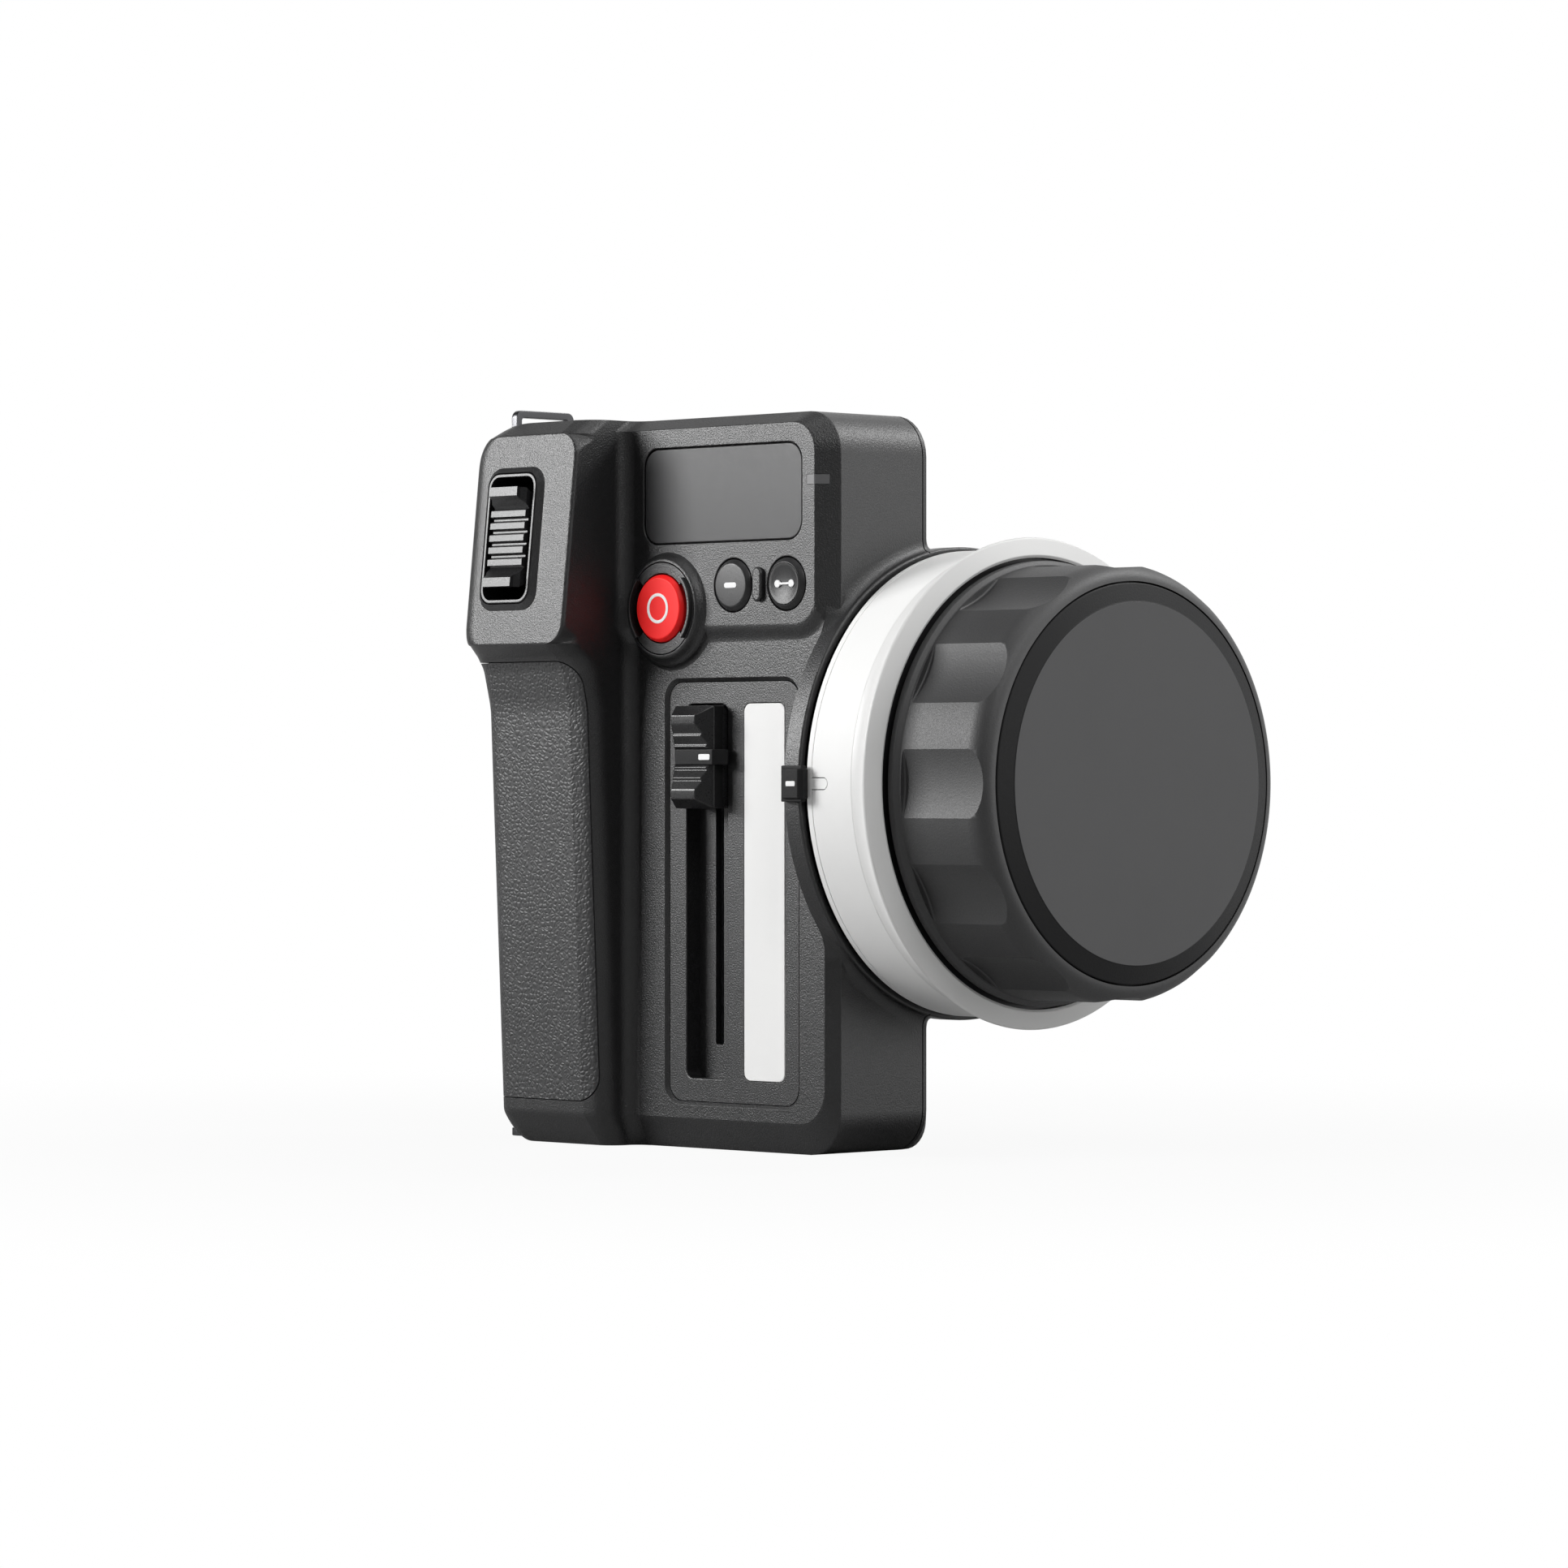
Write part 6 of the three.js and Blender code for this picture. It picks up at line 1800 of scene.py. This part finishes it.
    def build(self) -> None:
        """Makes the bay."""
        self.panel()
        self.thumb()


@dataclass(kw_only=True)
class ThumbRocker(Piece):
    """Tub in the block with the ribbed rocker in it."""

    face: BlockFace
    body: str = "rocker"
    width: float = 8.7
    tip_width: float = 7.1
    half: float = 8.6
    tip_reach: float = 2.95
    tip_face: float = 1.55
    rib_reach: float = 1.35
    rib_depth: float = 0.8
    rib_pitch: float = 2.1
    rib_face: float = 1.05
    ribs: int = 5
    pin_depth: float = 4.4
    key_depth: float = 9.0

    def line(self) -> list[Point]:
        """Draws the rocker's side as (y, z): a ridge at each end and ribs between them."""
        tip, reach, half = self.tip_face, self.tip_reach, self.half
        bottom = half - tip
        ribs = []
        for i in range(self.ribs):
            z = (self.ribs - 1) / 2 * self.rib_pitch - i * self.rib_pitch
            ribs += [
                (-self.rib_reach + self.rib_depth, z + self.rib_pitch * 0.45),
                (-self.rib_reach, z + self.rib_face / 2),
                (-self.rib_reach, z - self.rib_face / 2),
                (-self.rib_reach + self.rib_depth, z - self.rib_pitch * 0.4),
            ]
        upper = [
            (1.8, half * 0.8), (-reach * 0.5, half), (-reach, half), (-reach, bottom),
            (-reach * 0.6, bottom - tip * 0.5),
        ]
        lower = [(y, -z) for y, z in reversed(upper)]
        return [*upper, *ribs, *lower, (self.pin_depth + 2.4, -2.4), (self.pin_depth + 2.4, 2.4)]

    def build(self) -> None:
        """Makes the tub and the rocker."""
        face, pin = self.face, (0, self.pin_depth, 0)
        tub = Bench.plate("rocker_tub", face.outline(), -face.rise, 9.0, edge=0.2, steps=3)
        steps = ((7.6, 0.65), (-0.8, 0.65), (-0.9, 0.6), (-0.96, 0.5), (-3.0, 0.5))
        room = Bench.stacked("tub_room", [(y, face.outline(-g)) for y, g in steps])
        Bench.combine(tub, [room, Bench.rod("tub_pin_hole", pin, 1.03, -9, 9, 24, Axis.WHEEL)], "DIFFERENCE")
        self.settle(face.lean_on(tub), RIB_ABS, "moulded_black", "rocker_bezel", body="housing")
        half, tip, reach = self.width / 2, self.tip_width / 2, self.rib_reach
        key = Bench.bar("ribbed_rocker", self.line(), -half, half, Axis.WHEEL)
        right = [(tip, -5.0), (tip, -reach - (half - tip)), (half, -reach), (half, self.key_depth)]
        sides = [*((-x, y) for x, y in reversed(right)), *right]
        Bench.combine(key, [Bench.bar("rocker_limit", sides, -17, 17, Axis.UP)], "INTERSECT")
        Bench.soften(key, 0.14, 2, 28)
        Bench.combine(key, [Bench.rod("rocker_pin_hole", pin, 1.08, -9, 9, 24, Axis.WHEEL)], "DIFFERENCE")
        self.settle(face.lean_on(key), RIB_ABS, "key_plastic", "rocker")


@dataclass(kw_only=True)
class StrapLugs(Piece):
    """Two flat metal lugs, each with a slot for a strap."""

    x: float = -67.3
    half: float = 0.7
    corner: float = 1.4
    cutter: float = 6.0

    def lug(
        self, name: str, node: str, outer: Box, inner: Box, low: float, high: float, cut: float, axis: Axis
    ) -> None:
        """Makes a lug.

        Args:
            name: The piece's name.
            node: The CAD node that it stands for.
            outer: Its outline's sides.
            inner: Its slot's sides.
            low: Where it begins along its thickness.
            high: Where it ends.
            cut: Where the block that cuts its slot begins.
            axis: The direction of its thickness.
        """
        plate = Bench.bar(name, rounded_box(*outer, self.corner, 6), low, high, axis)
        slot = Bench.bar(f"{name}_slot", rounded_box(*inner, 0.5, 4), cut, cut + self.cutter, axis)
        Bench.combine(plate, [slot], "DIFFERENCE")
        Bench.soften(plate, 0.18, 2, 50)
        self.settle(plate, LUG_STEEL, "lug_metal", node)

    def build(self) -> None:
        """Makes both lugs."""
        x, t = self.x, self.half
        self.lug(
            "top_lug_plate", "top_strap_lug", (-6.3, 7.2, 121.2, 126.7), (-5.0, 5.9, 122.7, 125.4), x - t, x + t,
            x - 3, Axis.WHEEL,
        )
        self.lug(
            "bottom_lug_plate", "bottom_strap_lug", (-74.2, -68.2, -1.3, 11.5), (-72.9, -70.8, 0.0, 10.2), 0.6, 2.0,
            -2.0, Axis.UP,
        )


@dataclass(kw_only=True)
class IndexPointer(Piece):
    """Pointer on the fixed ring, with its printed mark."""

    wheel: WheelPlace
    body: str = "housing"
    half: float = 2.45
    base_half: float = 3.0
    face: float = -10.0

    def build(self) -> None:
        """Makes the pointer and the mark."""
        y, z = self.wheel.y, self.wheel.z
        seat = y - 39.75
        line = [
            (2.2, self.face), (5.95, self.face), (6.8, self.face + 0.5), (6.8, seat), (5.02, seat),
            (5.02, y - 40.12), (2.2, y - 40.12),
        ]
        low = [
            (1.6, self.face + 0.55), (6.3, self.face + 0.55), (6.3, seat - 0.02), (4.98, seat - 0.02),
            (4.98, y - 40.1), (1.6, y - 40.1),
        ]
        pointer, foot = (
            Bench.bar(name, drawn, z - half, z + half, Axis.UP)
            for name, drawn, half in (("ring_pointer", line, self.half), ("pointer_foot", low, self.base_half))
        )
        Bench.soften(pointer, 0.34, 3, 25)
        Bench.soften(foot, 0.16, 2, 25)
        Bench.combine(pointer, [foot], "UNION")
        self.settle(pointer, POINTER_ABS, "moulded_black", "index_pointer")
        box = (3.3, 5.4, z - 0.42, z + 0.42)
        self.printed("index_print", "index_mark", box, 0.2, self.face - 0.08, self.face + 0.3, 3)


@dataclass(kw_only=True)
class FocusWheel(Piece):
    """The turning wheel: marking ring, flare, fluted grip and cap."""

    wheel: WheelPlace
    body: str = "focus_wheel"
    left: float = 5.9
    marking_radius: float = 39.3
    seat_radius: float = 37.76
    rim_width: float = 1.1
    flare_left: float = 16.2
    flare_radius: float = 41.55
    flare_lip: float = 20.9
    flare_face: float = 22.1
    flare_inner: float = 38.2
    grip_left: float = 22.5
    grip_right: float = 43.0
    grip_radius: float = 36.4
    grip_inner: float = 34.36
    flange_radius: float = 37.2
    grip_shoulder: float = 4.0
    cap_radius: float = 33.15
    cap_rim: float = 43.02
    cap_face: float = 44.05
    disc_radius: float = 29.95
    flutes: int = 12
    flute_depth: float = 1.1
    flute_radius: float = 24.0
    steps: int = 240

    def turned(self, name: str, profile: Sequence[Point], closed: bool = True) -> Solid:
        """Turns a piece on the wheel's axle."""
        return Bench.turned(name, profile, self.wheel.centre, Axis.WHEEL, self.steps, closed)

    def tongue(self, name: str, grow: float) -> Solid:
        """Makes the rim's tongue, or with growth the slot for it."""
        z = self.wheel.z
        start = self.left + self.rim_width
        half = 0.9 + grow
        end = start + 3.7 + grow
        outline = [(start - 0.3, z - half), *arc(end - half, z, half, -90, 90, 10), (start - 0.3, z + half)]
        y = self.wheel.y
        slab = Bench.plate(name, outline, y - self.marking_radius - 3, y - self.seat_radius + 3)
        reach = 1.0 if grow else 0.0
        r0, r1 = self.seat_radius - reach, self.marking_radius + reach
        ring = self.turned(
            "tongue_ring", [(r0, self.left), (r1, self.left), (r1, self.flare_left), (r0, self.flare_left)]
        )
        return Bench.combine(slab, [ring], "INTERSECT")

    def rings(self) -> None:
        """Makes the snap rim, the marking ring and the flare."""
        left, right = self.left, self.left + self.rim_width
        r0, r1 = self.seat_radius, self.marking_radius
        rim = self.turned(
            "snap_rim", rounded([(r0, left), (r1, left), (r1, right), (r0, right)], {1: 0.15, 2: 0.05}, 3)
        )
        Bench.combine(rim, [self.tongue("tongue", 0.0)], "UNION")
        self.settle(rim, WHITE_ABS, "white_plastic", "ring_rim")
        start, end = right + 0.12, self.flare_left - 0.04
        band = self.turned(
            "marking_band", rounded([(r0, start), (r1, start), (r1, end), (r0, end)], {1: 0.05, 2: 0.05}, 3)
        )
        Bench.combine(band, [self.tongue("tongue_slot", 0.16)], "DIFFERENCE")
        self.settle(band, WHITE_ABS, "white_plastic", "marking_ring")
        rise, reach = self.flare_radius - r1, self.flare_lip - self.flare_left
        share = [k / 10 for k in range(11)]
        curve = [(r1 + rise * s**2.2 * 0.97, self.flare_left + reach * s * 0.985) for s in share]
        lip = rounded(
            [curve[-2], (self.flare_radius, self.flare_lip), (self.flare_inner, self.flare_face),
             (r0, self.flare_face - 0.24)],
            {1: 0.45, 2: 0.3},
            5,
        )
        flare = self.turned("frosted_flare", [(r0, self.flare_left), *curve[:-1], *lip[1:]])
        self.settle(flare, FROSTED_PC, "frosted_plastic", "flare_ring")

    def grip(self) -> None:
        """Makes the rubber grip with its shallow flutes."""
        lip = self.cap_radius + 0.24
        shoulder_x = self.grip_right - self.grip_shoulder
        rise = self.grip_radius - lip
        shoulder = [
            (lip + rise * math.cos(t), shoulder_x + self.grip_shoulder * math.sin(t))
            for t in (math.radians(90 * k / 12) for k in range(13))
        ]
        left, out = self.grip_left - 0.15, self.flange_radius
        edge = rounded(
            [(self.grip_inner, left), (out, left), (out, left + 1.4), (self.grip_radius, left + 2.0),
             (self.grip_radius, 30.0)],
            {1: 0.35, 2: 0.3, 3: 0.4},
            5,
        )
        profile = [*edge[:-1], *shoulder, (lip, 41.12), (self.grip_inner, 41.12)]
        sleeve = self.turned("fluted_grip", profile)
        centre = self.grip_radius - self.flute_depth + self.flute_radius
        start = self.grip_left + 2.2
        r = self.flute_radius
        bore = rounded([(0.0, start), (r, start), (r, 50.0), (0.0, 50.0)], {1: 0.35}, 4)
        y, z = self.wheel.y, self.wheel.z
        first = Bench.turned("flute_0", bore, (0.0, y - centre, z), Axis.WHEEL, 240)
        cutters = [first] + [
            Bench.spun_copy(first, f"flute_{i}", spot(0, y, z), math.tau * i / self.flutes)
            for i in range(1, self.flutes)
        ]
        Bench.combine(sleeve, cutters, "DIFFERENCE")
        self.settle(sleeve, WHEEL_RUBBER, "wheel_rubber", "knob_grip")

    def cap(self) -> None:
        """Makes the cap with its bevelled rim."""
        r, rim, face = self.cap_radius, self.cap_rim, self.cap_face
        line = rounded(
            [(0.0, 42.55), (28.9, 42.55), (28.9, 41.12), (r, 41.12), (r, rim), (30.1, face - 0.1), (29.9, face),
             (0.0, face)],
            {4: 0.35, 5: 0.1, 6: 0.1},
            4,
        )
        cap = self.turned("wheel_cap_disc", line, closed=False)
        self.settle(cap, CAP_PAINT, "cap_plastic", "wheel_cap")
        # The band round the painted disc is bare matte plastic.
        y, z = self.wheel.y, self.wheel.z
        self.refinish(cap, POINTER_ABS, lambda at: math.hypot(at.y - y, at.z - z) > self.disc_radius)

    def build(self) -> None:
        """Makes the wheel."""
        self.rings()
        self.grip()
        self.cap()


# CAD nodes that keep their own form
INSIDE: tuple[tuple[Finish, str], ...] = (
    (KEY_ABS, "knob_core"),
    (ANODISED_BLACK, "wheel_base"),
    (BLASTED_ALUMINIUM, "haptic_motor slide_potentiometer"),
    (ZINC_STEEL, "rec_switch m_switch ab_switch rocker_pin bearing_inner bearing_outer wheel_shaft hub_screw"),
    (ZINC_STEEL, "cover_screw_bottom_left cover_screw_top_left cover_screw_bottom_right cover_screw_top_right"),
    (ZINC_STEEL, "tripod_insert usb_port"),
    (SOLDER_MASK, "display_module main_board rocker_sensor wheel_encoder"),
    (CELL_WRAP, "battery_pack"),
)


def main() -> None:
    """Builds every assembly in order."""
    bpy.context.scene.view_settings.view_transform = "Standard"
    Studio().build()
    form, face, record, wheel = BodyForm(), BlockFace(), RecordPlace(), WheelPlace()
    shell = FrontShell(form=form, face=face, record=record, wheel=wheel)
    for assembly in (
        shell,
        GripPad(shell=shell),
        RearCover(form=form, wheel=wheel, screws=shell.screws),
        Display(shell=shell),
        RecordKey(place=record),
        RoundKey(),
        RoundKey(name="ab", x=-6.65, dish=0.45, body="ab_button"),
        SliderBay(shell=shell),
        ThumbRocker(face=face),
        StrapLugs(),
        IndexPointer(wheel=wheel),
        FocusWheel(wheel=wheel),
    ):
        assembly.build()
    for finish, nodes in INSIDE:
        dress(finish, *nodes.split())


if __name__ == "__main__":
    main()
